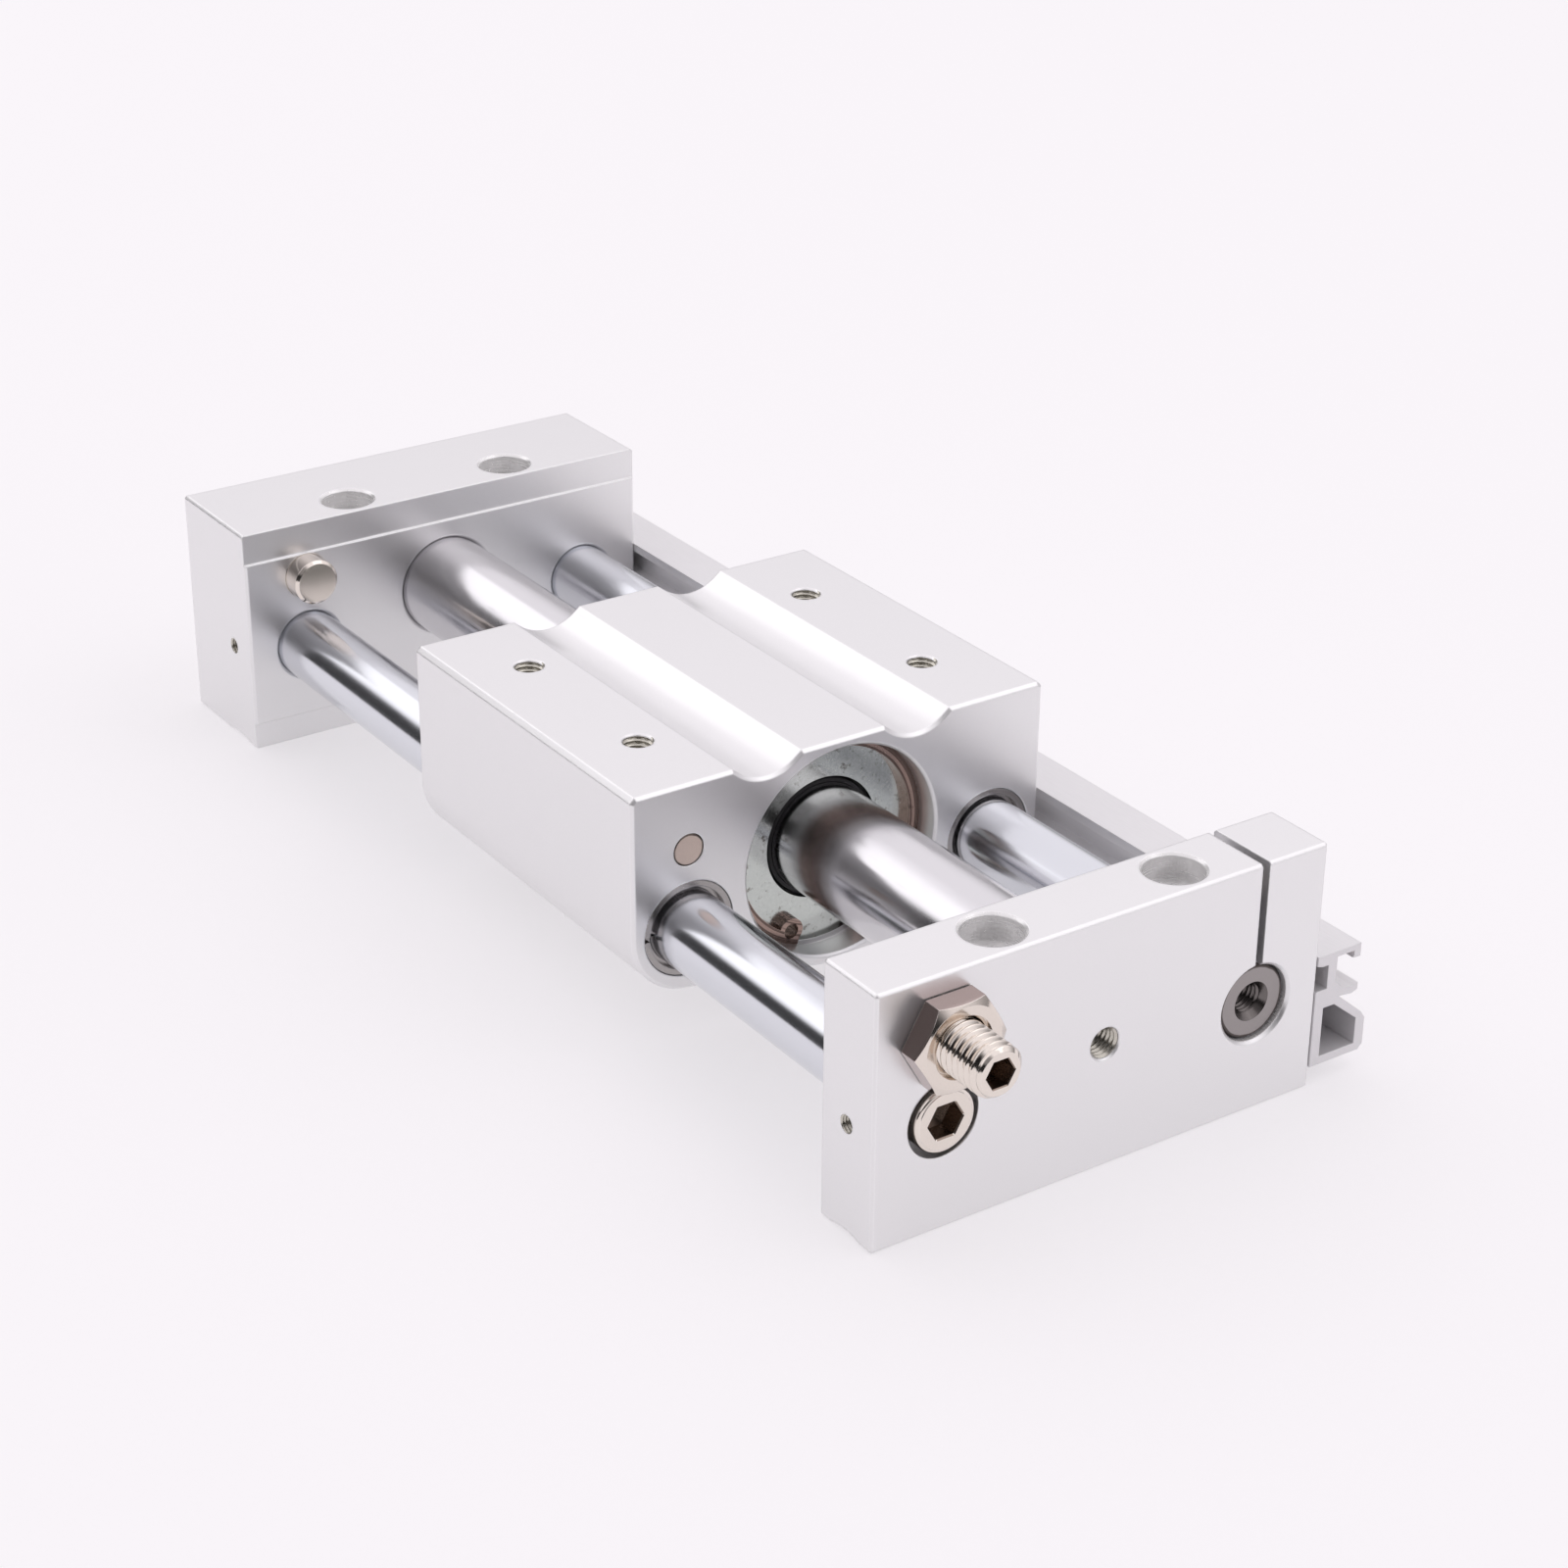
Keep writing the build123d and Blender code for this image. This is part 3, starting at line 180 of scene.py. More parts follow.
floor_mesh = bpy.data.meshes.new("floor")
corners = [(x * FLOOR_HALF, y * FLOOR_HALF, 0) for x, y in ((-1, -1), (1, -1), (1, 1), (-1, 1))]
floor_mesh.from_pydata(corners, [], [(0, 1, 2, 3)])
floor = bpy.data.objects.new("floor", floor_mesh)
scene.collection.objects.link(floor)

paper, tree, shader = new_material("white_paper")
place = add(tree, "ShaderNodeTexCoord")
fibre = fill(add(tree, "ShaderNodeTexNoise"), Scale=FIBRE_SCALE, Detail=3.0)
join(tree, place.outputs["Object"], fibre.inputs["Vector"])
tone = ramp(tree, fibre.outputs["Fac"], 0.0, 1.0, *PAPER_TONES, shape="LINEAR")
mix = add(tree, "ShaderNodeCombineColor")
join(tree, tone, mix.inputs["Red"])
join(tree, times(tree, tone, PAPER_GREEN), mix.inputs["Green"])
join(tree, tone, mix.inputs["Blue"])
join(tree, mix.outputs["Color"], shader.inputs["Base Color"])
fill(shader, Roughness=0.9, Specular_IOR_Level=0.1)
shine = fill(add(tree, "ShaderNodeEmission"), Color=(1.0, PAPER_GREEN, 1.0, 1.0))
rays = add(tree, "ShaderNodeLightPath")
seen = calculate(tree, "MAXIMUM", rays.outputs["Is Camera Ray"], rays.outputs["Is Glossy Ray"])
seen = calculate(tree, "MAXIMUM", seen, rays.outputs["Is Transmission Ray"])
blend = add(tree, "ShaderNodeMixShader")
join(tree, times(tree, seen, PAPER_WHITE), blend.inputs["Fac"])
join(tree, shader.outputs["BSDF"], blend.inputs[1])
join(tree, shine.outputs["Emission"], blend.inputs[2])
join(tree, blend.outputs[0], tree.nodes["Material Output"].inputs["Surface"])
floor_mesh.materials.append(paper)
print("floor in metres:", 2 * FLOOR_HALF, "by", 2 * FLOOR_HALF)

# %% [markdown]
# The light is soft and comes from nearly everywhere above, as in a white tent. Polished metal has no
# look of its own: it shows the tent. The photograph's rods show a bright panel high up on the left, a
# dark gap between the tent's hem and the table, and a softer grey horizon on the far side. Metal
# that faces the camera is darker, because the tent is open there.
#
# The world is built from these. Its strength depends only on the direction: one smooth ramp for the
# near side, one for the far side, a third that passes from one to the other, and a fourth that
# darkens the round opening.

# %% The tent
TENT_COLOUR = (1.0, 0.965, 1.0, 1.0)
TENT_WHITE = 1.04
DARK_GAP = 0.06
GAP_EDGE = (0.34, 0.48)
FAR_HORIZON = 0.28
HORIZON_EDGE = (-0.05, 0.50)
SIDE_CHANGE = (-0.15, 0.25)
TENT_OPENING = 0.25
OPENING_EDGE = (0.80, 0.95)
OPENING_TOWARDS = (0.77, -0.47, 0.43)

world = bpy.data.worlds.new("white_tent")
scene.world = world
world.use_nodes = True
sky = world.node_tree
background = sky.nodes["Background"]
look = add(sky, "ShaderNodeTexCoord")
parts = add(sky, "ShaderNodeSeparateXYZ")
join(sky, look.outputs["Generated"], parts.inputs[0])

near_side = ramp(sky, parts.outputs["Z"], *GAP_EDGE, DARK_GAP, TENT_WHITE)
far_side = ramp(sky, parts.outputs["Z"], *HORIZON_EDGE, FAR_HORIZON, TENT_WHITE)
far_share = ramp(sky, parts.outputs["Y"], *SIDE_CHANGE)
near_part = times(sky, near_side, minus(sky, 1.0, far_share))
wall = plus(sky, near_part, times(sky, far_side, far_share))
facing_camera = add(sky, "ShaderNodeVectorMath", operation="DOT_PRODUCT")
join(sky, look.outputs["Generated"], facing_camera.inputs[0])
facing_camera.inputs[1].default_value = OPENING_TOWARDS
opening = ramp(sky, facing_camera.outputs["Value"], *OPENING_EDGE, 1.0, TENT_OPENING)
background.inputs["Color"].default_value = TENT_COLOUR
join(sky, times(sky, wall, opening), background.inputs["Strength"])
print("tent nodes:", len(sky.nodes))

# %% [markdown]
# Two soft panels make the tent's light uneven, as it is in the photograph: one hangs over the far
# side and one stands on the left. Their power follows from their area, so that a panel keeps its
# brightness when its size is changed. The level is plain, and a colour renders about as written.

# %% Lamps
PART_MIDDLE = Vector((0.0, 0.0, 0.02))
PANEL_DISTANCE = 1.5
PANEL_RADIANCE = 0.45


def panel(name, towards, width, height):
    data = bpy.data.lights.new(name, "AREA")
    data.shape = "RECTANGLE"
    data.size = width
    data.size_y = height
    data.energy = PANEL_RADIANCE * math.pi * width * height
    item = bpy.data.objects.new(name, data)
    scene.collection.objects.link(item)
    place = PART_MIDDLE + Vector(towards).normalized() * PANEL_DISTANCE
    aim = (PART_MIDDLE - place).to_track_quat("-Z", "Y").to_matrix().to_4x4()
    item.matrix_world = Matrix.Translation(place) @ aim
    print(name, "watts:", round(data.energy, 2))


panel("panel_overhead", (0.35, 0.50, 0.80), 0.8, 0.8)
panel("panel_left", (-0.741, -0.336, 0.582), 1.6, 0.68)

# %% [markdown]
# Anodised aluminium is matt because its skin is made of tiny pits, so the same fine grain is needed
# on several finishes. A node group does it once: it gives a colour that varies slightly, a
# roughness, and a height for the bump. Each material then has its own grain size and tone, and the
# stretch draws the grain out into the lines that a die or a drill leaves.

# %% Group: fine grain
FLOAT = "NodeSocketFloat"
COLOUR = "NodeSocketColor"
VECTOR = "NodeSocketVector"
FINE_SHARE = 0.85
BROAD_SCALE = 70.0


def new_group(name, inputs, outputs):
    group = bpy.data.node_groups.new(name, "ShaderNodeTree")
    for label, kind, value in inputs:
        socket = group.interface.new_socket(label, in_out="INPUT", socket_type=kind)
        socket.default_value = value
    for label, kind in outputs:
        group.interface.new_socket(label, in_out="OUTPUT", socket_type=kind)
    return group, add(group, "NodeGroupInput", -900), add(group, "NodeGroupOutput", 900)


fine_grain, given, result = new_group(
    "Fine grain",
    [("Colour", COLOUR, (0.8, 0.8, 0.8, 1)), ("Grain size", FLOAT, 0.0003), ("Contrast", FLOAT, 0.05),
     ("Roughness", FLOAT, 0.4), ("Roughness spread", FLOAT, 0.05), ("Stretch", VECTOR, (1.0, 1.0, 1.0))],
    [("Colour", COLOUR), ("Roughness", FLOAT), ("Height", FLOAT)])
tree = fine_grain
where = add(tree, "ShaderNodeTexCoord")
stretched = add(tree, "ShaderNodeVectorMath", operation="DIVIDE")
join(tree, where.outputs["Object"], stretched.inputs[0])
join(tree, given.outputs["Stretch"], stretched.inputs[1])
fine = fill(add(tree, "ShaderNodeTexNoise"), Detail=2.0, Roughness=0.6)
join(tree, over(tree, 1.0, given.outputs["Grain size"]), fine.inputs["Scale"])
join(tree, stretched.outputs[0], fine.inputs["Vector"])
broad = fill(add(tree, "ShaderNodeTexNoise"), Scale=BROAD_SCALE, Detail=3.0)
join(tree, stretched.outputs[0], broad.inputs["Vector"])
broad_part = times(tree, broad.outputs["Fac"], 1.0 - FINE_SHARE)
both = plus(tree, times(tree, fine.outputs["Fac"], FINE_SHARE), broad_part)
centred = minus(tree, both, 0.5)
factor = plus(tree, 1.0, times(tree, centred, given.outputs["Contrast"]))
shade = add(tree, "ShaderNodeVectorMath", operation="SCALE")
join(tree, given.outputs["Colour"], shade.inputs[0])
join(tree, factor, shade.inputs["Scale"])
join(tree, shade.outputs[0], result.inputs["Colour"])
spread = times(tree, centred, given.outputs["Roughness spread"])
join(tree, plus(tree, given.outputs["Roughness"], spread), result.inputs["Roughness"])
join(tree, fine.outputs["Fac"], result.inputs["Height"])
print("fine grain nodes:", len(fine_grain.nodes))

# %% [markdown]
# Machined edges catch the light as thin bright lines, because they are slightly round. The Bevel node
# answers where an edge is: its normal bends near one, so comparing it with the true normal gives a mask,
# which the metals use to paint a highlight colour along their edges: a painted highlight. The bent normal
# is handed out too. It rounds the edge for the eye, so that it catches the panels, and the mesh keeps its
# size.

# %% Group: painted edge highlight
EDGE_SAMPLES = 6
EDGE_SHARPNESS = 6.0

painted_edge_highlight, given, result = new_group(
    "Painted edge highlight",
    [("Width", FLOAT, 0.0003), ("Strength", FLOAT, 1.0)],
    [("Mask", FLOAT), ("Rounded normal", VECTOR)])
tree = painted_edge_highlight
rounded = add(tree, "ShaderNodeBevel")
rounded.samples = EDGE_SAMPLES
join(tree, given.outputs["Width"], rounded.inputs["Radius"])
true_normal = add(tree, "ShaderNodeNewGeometry")
compare = add(tree, "ShaderNodeVectorMath", operation="DOT_PRODUCT")
join(tree, rounded.outputs[0], compare.inputs[0])
join(tree, true_normal.outputs["Normal"], compare.inputs[1])
bend = times(tree, minus(tree, 1.0, compare.outputs["Value"]), EDGE_SHARPNESS)
limited = calculate(tree, "MINIMUM", bend, 1.0)
join(tree, times(tree, limited, given.outputs["Strength"]), result.inputs["Mask"])
join(tree, rounded.outputs[0], result.inputs["Rounded normal"])
print("painted edge highlight nodes:", len(painted_edge_highlight.nodes))

# %% [markdown]
# A lathe leaves rings around the axis of a turned or ground piece. The group measures the distance
# from an axis that runs along X and uses it, with the place along the axis, to pick a noise value,
# so the rings follow the piece wherever it is. The distance is handed out too, for rims that are
# darker than the middle of a face.

# %% Group: turning rings
turning_rings, given, result = new_group(
    "Turning rings",
    [("Axis Y", FLOAT, 0.0), ("Axis Z", FLOAT, 0.0), ("Ring width", FLOAT, 0.0001)],
    [("Rings", FLOAT), ("Distance", FLOAT)])


def distance_from_axis(tree, given, parts):
    """Gives how far a point lies from the given axis: in Y, in Z and in all."""
    off_y = minus(tree, parts.outputs["Y"], given.outputs["Axis Y"])
    off_z = minus(tree, parts.outputs["Z"], given.outputs["Axis Z"])
    square = plus(tree, times(tree, off_y, off_y), times(tree, off_z, off_z))
    return off_y, off_z, calculate(tree, "SQRT", square)


tree = turning_rings
where = add(tree, "ShaderNodeTexCoord")
parts = add(tree, "ShaderNodeSeparateXYZ")
join(tree, where.outputs["Object"], parts.inputs[0])
distance = distance_from_axis(tree, given, parts)[2]
position = add(tree, "ShaderNodeCombineXYZ")
ring_width = given.outputs["Ring width"]
join(tree, over(tree, distance, ring_width), position.inputs["X"])
join(tree, over(tree, parts.outputs["X"], ring_width), position.inputs["Y"])
ring_noise = fill(add(tree, "ShaderNodeTexNoise"), Scale=1.0, Detail=2.0)
join(tree, position.outputs[0], ring_noise.inputs["Vector"])
join(tree, ring_noise.outputs["Fac"], result.inputs["Rings"])
join(tree, distance, result.inputs["Distance"])
print("turning rings nodes:", len(turning_rings.nodes))

# %% [markdown]
# Handled metal picks up faint smears, hair scratches and small stains. The smear is a soft cloud.
# The scratches are a very stretched noise that is cut off at its peaks, which leaves thin strokes.
# The stains are the peaks of a fine noise, as on the washer in the photograph.

# %% Group: handling marks
SCRATCH_SCALE = 2600.0
SCRATCH_TURN = (0.5, 0.9, 0.3)
SCRATCH_STRETCH = (0.05, 1.0, 1.0)
SCRATCH_PEAK = (0.70, 0.76)
STAIN_SCALE = 620.0
STAIN_PEAK = (0.59, 0.70)

handling_marks, given, result = new_group(
    "Handling marks",
    [("Size", FLOAT, 0.004)],
    [("Smear", FLOAT), ("Scratch", FLOAT), ("Stain", FLOAT)])
tree = handling_marks
where = add(tree, "ShaderNodeTexCoord")
cloud = fill(add(tree, "ShaderNodeTexNoise"), Detail=4.0, Roughness=0.55)
join(tree, over(tree, 1.0, given.outputs["Size"]), cloud.inputs["Scale"])
join(tree, where.outputs["Object"], cloud.inputs["Vector"])
join(tree, cloud.outputs["Fac"], result.inputs["Smear"])
slant = fill(add(tree, "ShaderNodeMapping"), Rotation=SCRATCH_TURN, Scale=SCRATCH_STRETCH)
join(tree, where.outputs["Object"], slant.inputs["Vector"])
stroke = fill(add(tree, "ShaderNodeTexNoise"), Scale=SCRATCH_SCALE, Detail=1.0)
join(tree, slant.outputs[0], stroke.inputs["Vector"])
scratch = ramp(tree, stroke.outputs["Fac"], *SCRATCH_PEAK, shape="LINEAR")
join(tree, scratch, result.inputs["Scratch"])
speck = fill(add(tree, "ShaderNodeTexNoise"), Scale=STAIN_SCALE, Detail=5.0, Roughness=0.6)
join(tree, where.outputs["Object"], speck.inputs["Vector"])
spots = ramp(tree, speck.outputs["Fac"], *STAIN_PEAK, shape="LINEAR")
join(tree, spots, result.inputs["Stain"])
print("shader groups:", [group.name for group in bpy.data.node_groups])

# %% [markdown]
# Every metal here is the same recipe with other values: a base colour with grain, a roughness that the
# smears change a little, a painted highlight colour along the edges, and a bump. Some add turning rings,
# which can also tint the metal, a dark rim beyond a radius, stains, or the long shine of a brushed or
# ground surface.
# One function keeps the materials alike and makes the differences plain to read.

# %% Metal recipe
# The colour that the edge mask paints along edges: a painted highlight.
EDGE_HIGHLIGHT_PAINT = (0.95, 0.95, 0.95, 1)
STAIN_BROWN = (0.10, 0.075, 0.05, 1)
RIM_COLOUR = (0.05, 0.04, 0.035, 1)
RIM_SHARE = 0.85
RIM_BLUR = 0.00008
RIM_WANDER = 0.0006
RING_BAND = (0.48, 0.62)
SMOOTHEST = 0.02
GROUND_TURN = 0.25


def use(tree, group, **values):
    node = add(tree, "ShaderNodeGroup")
    node.node_tree = group
    return fill(node, **values)


def blend_colours(tree, amount, first, second):
    node = add(tree, "ShaderNodeMix", data_type="RGBA")
    for value, place in ((amount, 0), (first, 6), (second, 7)):
        if isinstance(value, (int, float, tuple)):
            node.inputs[place].default_value = value
        else:
            join(tree, value, node.inputs[place])
    return node.outputs[2]


def dark_rim(tree, colour, distance, smear, radius):
    """Darkens all that lies beyond the radius, with a border that wanders a little."""
    uneven = times(tree, minus(tree, smear, 0.5), RIM_WANDER)
    border = plus(tree, distance, uneven)
    rim = ramp(tree, border, radius - RIM_BLUR, radius + RIM_BLUR, 0.0, RIM_SHARE)
    return blend_colours(tree, rim, colour, RIM_COLOUR)


def metal(name, colour, roughness, grain_size=0.0002, contrast=0.06, spread=0.08, stretch=(1.0, 1.0, 1.0),
          metallic=1.0, edge=0.0, edge_highlight_colour=EDGE_HIGHLIGHT_PAINT, edge_width=0.0003, smear=0.05, bump=0.1,
          bump_depth=0.00001, axis=(0.0, 0.0), ring_width=0.00008, ring_bump=0.0, ring_tint=0.0,
          dark_beyond=0.0, stain=0.0, stain_colour=STAIN_BROWN, brushed=0.0):
    material, tree, shader = new_material(name)
    skin = use(tree, fine_grain, Colour=(*colour, 1.0), Grain_size=grain_size, Contrast=contrast,
               Roughness=roughness, Roughness_spread=spread, Stretch=stretch)
    wear = use(tree, handling_marks)
    relief = fill(add(tree, "ShaderNodeBump"), Strength=bump, Distance=bump_depth)
    colour_now, height = skin.outputs["Colour"], skin.outputs["Height"]
    # The edge mask paints the highlight colour into the base colour: a painted highlight. The rounded
    # normal shades for real.
    if edge:
        mask = use(tree, painted_edge_highlight, Width=edge_width, Strength=edge)
        colour_now = blend_colours(tree, mask.outputs["Mask"], colour_now, edge_highlight_colour)
        join(tree, mask.outputs["Rounded normal"], relief.inputs["Normal"])
    if ring_bump or ring_tint or dark_beyond:
        turned = use(tree, turning_rings, Axis_Y=axis[0], Axis_Z=axis[1], Ring_width=ring_width)
        height = plus(tree, times(tree, turned.outputs["Rings"], ring_bump),
                      times(tree, height, 1.0 - ring_bump))
        if ring_tint:
            lines = ramp(tree, turned.outputs["Rings"], *RING_BAND, 0.0, ring_tint)
            colour_now = blend_colours(tree, lines, colour_now, stain_colour)
        if dark_beyond:
            colour_now = dark_rim(tree, colour_now, turned.outputs["Distance"],
                                  wear.outputs["Smear"], dark_beyond)
    if stain:
        spotted = times(tree, wear.outputs["Stain"], stain)
        colour_now = blend_colours(tree, spotted, colour_now, stain_colour)
    join(tree, colour_now, shader.inputs["Base Color"])
    clouded = times(tree, minus(tree, wear.outputs["Smear"], 0.5), smear)
    worn = plus(tree, clouded, times(tree, wear.outputs["Scratch"], smear))
    rough = plus(tree, skin.outputs["Roughness"], worn)
    join(tree, calculate(tree, "MAXIMUM", rough, SMOOTHEST), shader.inputs["Roughness"])
    join(tree, height, relief.inputs["Height"])
    join(tree, relief.outputs[0], shader.inputs["Normal"])
    fill(shader, Metallic=metallic)
    if brushed:
        fill(shader, Anisotropic=brushed, Anisotropic_Rotation=GROUND_TURN)
        around = add(tree, "ShaderNodeTangent", direction_type="RADIAL", axis="X")
        join(tree, around.outputs[0], shader.inputs["Tangent"])
    return material


# %% [markdown]
# Aluminium makes up most of the part. The plates and the block are blasted and anodised, which gives a
# matt silver skin; their cut edges, and those of the bored walls, carry a white painted highlight. Bored
# and countersunk walls show the drill's rings, the tapped threads are cut after anodising and are darker,
# and the rail is pressed through a die, so its grain runs along it.

# %% Aluminium finishes
# White painted highlight for the edges of anodised and bored aluminium.
HIGHLIGHT_PAINT_WHITE = (1.0, 1.0, 1.0, 1)

anodised = metal("anodised_aluminium", (0.87, 0.865, 0.87), 0.34, grain_size=0.00022, contrast=0.06,
                 metallic=0.9, edge=1.0, edge_highlight_colour=HIGHLIGHT_PAINT_WHITE, edge_width=0.0004, bump=0.25,
                 bump_depth=0.00002)
bored = metal("bored_aluminium", (0.93, 0.925, 0.92), 0.26, grain_size=0.0003, contrast=0.25,
              spread=0.15, stretch=(30.0, 30.0, 1.0), metallic=0.5, edge=1.0, edge_highlight_colour=HIGHLIGHT_PAINT_WHITE,
              edge_width=0.0003, bump=0.3, bump_depth=0.00003)
machined = metal("machined_aluminium", (0.60, 0.575, 0.51), 0.22, grain_size=0.0002, contrast=0.2,
                 spread=0.1, metallic=0.9, edge=0.5, edge_width=0.0001, smear=0.1, bump=0.1,
                 bump_depth=0.000006)
rail_finish = metal("rail_aluminium", (0.82, 0.81, 0.82), 0.38, grain_size=0.00012, contrast=0.12,
                    stretch=(25.0, 1.0, 1.0), metallic=0.4, edge=0.6, edge_width=0.0002, bump=0.3,
                    bump_depth=0.00002)
piston_finish = metal("piston_aluminium", (0.72, 0.72, 0.73), 0.3, contrast=0.08)
aluminium = (anodised, bored, machined, rail_finish, piston_finish)
print("aluminium finishes:", [finish.name for finish in aluminium])

# %% [markdown]
# The guide rods are ground and hard chromed, and the tube is polished stainless steel. Both were turned
# under an abrasive, which draws their shine out along the piece. The hollow rod's end is cut bare, with a
# darker rim, and its thread is painted dark as the shade it lies in, with a lighter painted highlight on
# its edges.

# %% Rod and tube finishes
ROD_Y, ROD_Z = 27.5, 17.5
HOLLOW_AXIS = (ROD_Y * MM, ROD_Z * MM)

chrome = metal("hard_chrome", (0.72, 0.735, 0.775), 0.16, grain_size=0.0004, contrast=0.03,
               spread=0.03, smear=0.06, bump=0.03, bump_depth=0.000004, brushed=0.7)
stainless = metal("polished_stainless", (0.72, 0.71, 0.73), 0.16, grain_size=0.0004, contrast=0.04,
                  spread=0.04, smear=0.08, bump=0.03, bump_depth=0.000004, brushed=0.6)
cut_steel = metal("turned_rod_end", (0.34, 0.315, 0.31), 0.34, contrast=0.15, bump=0.3,
                  axis=HOLLOW_AXIS, ring_bump=0.8, dark_beyond=0.0053)
# Dark colour as painted shade in the port, with a lighter painted highlight colour on the thread's edges.
deep_thread = metal("rod_thread", (0.17, 0.155, 0.15), 0.25, contrast=0.3, edge=0.6,
                    edge_width=0.0001, edge_highlight_colour=(0.5, 0.48, 0.47, 1))
print("rod and tube finishes:", [finish.name for finish in (chrome, stainless, cut_steel, deep_thread)])

# %% [markdown]
# Bolts, nuts and screws are nickel plated, which is warmer than chrome. The nut's face shows the lathe;
# its flats are painted darker as painted shade, and the sockets are painted dark too, as painted shade
# where light barely reaches. The washer is zinc plated and stained, the circlip and the bushes are bare
# steel, and the stop pin has a dark rim.

# %% Small part finishes
TUBE_Z = 22.4
STOP_Z = 30.5
TUBE_AXIS = (0.0, TUBE_Z * MM)
STOP_AXIS = (-ROD_Y * MM, STOP_Z * MM)

nickel = metal("nickel_plate", (0.80, 0.735, 0.67), 0.11, grain_size=0.0003, contrast=0.08,
               spread=0.06, edge=0.3, edge_width=0.00015, smear=0.1, bump=0.05, bump_depth=0.000006)
nickel_faced = metal("nickel_plate_faced", (0.78, 0.71, 0.645), 0.12, grain_size=0.0003, contrast=0.08,
                     spread=0.06, edge=0.3, edge_width=0.00015, smear=0.1, bump=0.12,
                     bump_depth=0.000006, axis=STOP_AXIS, ring_bump=0.7)
# The nut flats get a darker copy of the nickel: painted shade, standing for the shaded plate face that
# they reflect.
nickel_painted_shade_flats = metal("nickel_plate_painted_shade_flats", (0.46, 0.37, 0.345), 0.10, grain_size=0.0003, contrast=0.1,
                     spread=0.06, edge=0.5, edge_width=0.0002, smear=0.1, bump=0.05,
                     bump_depth=0.000006)
# Dark nickel for the walls of sockets: painted shade.
painted_socket_shade = metal("nickel_painted_socket_shade", (0.29, 0.23, 0.19), 0.28, grain_size=0.0003, contrast=0.3, spread=0.1,
               smear=0.2)
zinc = metal("zinc_plate", (0.62, 0.65, 0.62), 0.17, grain_size=0.0006, contrast=0.25, spread=0.2,
             smear=0.2, bump=0.1, bump_depth=0.00001, stain=0.8)
spring = metal("spring_steel", (0.40, 0.29, 0.25), 0.25, contrast=0.2, spread=0.15, smear=0.15,
               axis=TUBE_AXIS, ring_width=0.00035, ring_tint=0.8, stain=0.6,
               stain_colour=(0.05, 0.035, 0.03, 1))
bush_metal = metal("bush_steel", (0.42, 0.40, 0.39), 0.25, contrast=0.12, edge=0.4, edge_width=0.0002)
pin_metal = metal("pin_steel", (0.72, 0.60, 0.53), 0.38, contrast=0.2, spread=0.15, bump=0.2,
                  axis=STOP_AXIS, ring_bump=0.6, dark_beyond=0.0023)
magnet_finish = metal("magnet_metal", (0.72, 0.72, 0.70), 0.3, contrast=0.08)
yoke_metal = metal("yoke_steel", (0.42, 0.42, 0.43), 0.4, contrast=0.15)
print("materials so far:", len(bpy.data.materials))

# %% [markdown]
# The scrapers and seals are black rubber, and the wear rings are a dark plastic. Neither is a metal,
# so they have a recipe of their own: a dark colour and a dull surface, with the same fine grain.

# %% Rubber and plastic


def soft_finish(name, colour, roughness):
    material, tree, shader = new_material(name)
    skin = use(tree, fine_grain, Colour=(*colour, 1.0), Grain_size=0.0002, Contrast=0.2,
               Roughness=roughness, Roughness_spread=0.15)
    join(tree, skin.outputs["Colour"], shader.inputs["Base Color"])
    join(tree, skin.outputs["Roughness"], shader.inputs["Roughness"])
    relief = fill(add(tree, "ShaderNodeBump"), Strength=0.3, Distance=0.00002)
    join(tree, skin.outputs["Height"], relief.inputs["Height"])
    join(tree, relief.outputs[0], shader.inputs["Normal"])
    return material


rubber = soft_finish("rubber_black", (0.018, 0.018, 0.019), 0.55)
plastic = soft_finish("ring_plastic", (0.05, 0.05, 0.055), 0.5)
print("soft finishes:", rubber.name, "and", plastic.name)

# %% [markdown]
# Every node of the CAD model names the kind of material it is made of. One table turns that name
# into a finish, so all pieces get theirs in a single pass, and no piece can be forgotten.

# %% Give each CAD node its finish
finish_of_slot = {
    "anodised_aluminium": anodised, "rail_aluminium": rail_finish, "hard_chrome": chrome,
    "polished_stainless": stainless, "nickel_plate": nickel, "zinc_plate": zinc,
    "spring_steel": spring, "bush_steel": bush_metal, "pin_steel": pin_metal, "rubber_black": rubber,
    "ring_plastic": plastic, "magnet_metal": magnet_finish, "yoke_steel": yoke_metal,
    "piston_aluminium": piston_finish}
slot_of_node = {row["node"]: row["material_slot"] for row in frame["record"]["subparts"]}
for name, item in frame["nodes"].items():
    item.data.materials.append(finish_of_slot[slot_of_node[name]])
print("nodes dressed:", len(frame["nodes"]))

# %% [markdown]
# Polished rods show every flat of a mesh, so they are turned again here with many segments. A turned
# piece is a list of places along its axis with a radius at each, spun once round. The same helper
# makes bolts and nuts: where a row is marked as a hexagon, its radius follows the six flats. A place
# may depend on the angle too, which makes the curved chamfer line of a nut.

# %% Turned pieces


def hexagon(flats):
    """Radius of a hexagon with a flat on top, for each angle."""
    sixth = math.pi / 3
    return lambda angle: flats / 2 / math.cos((angle % sixth) - sixth / 2)


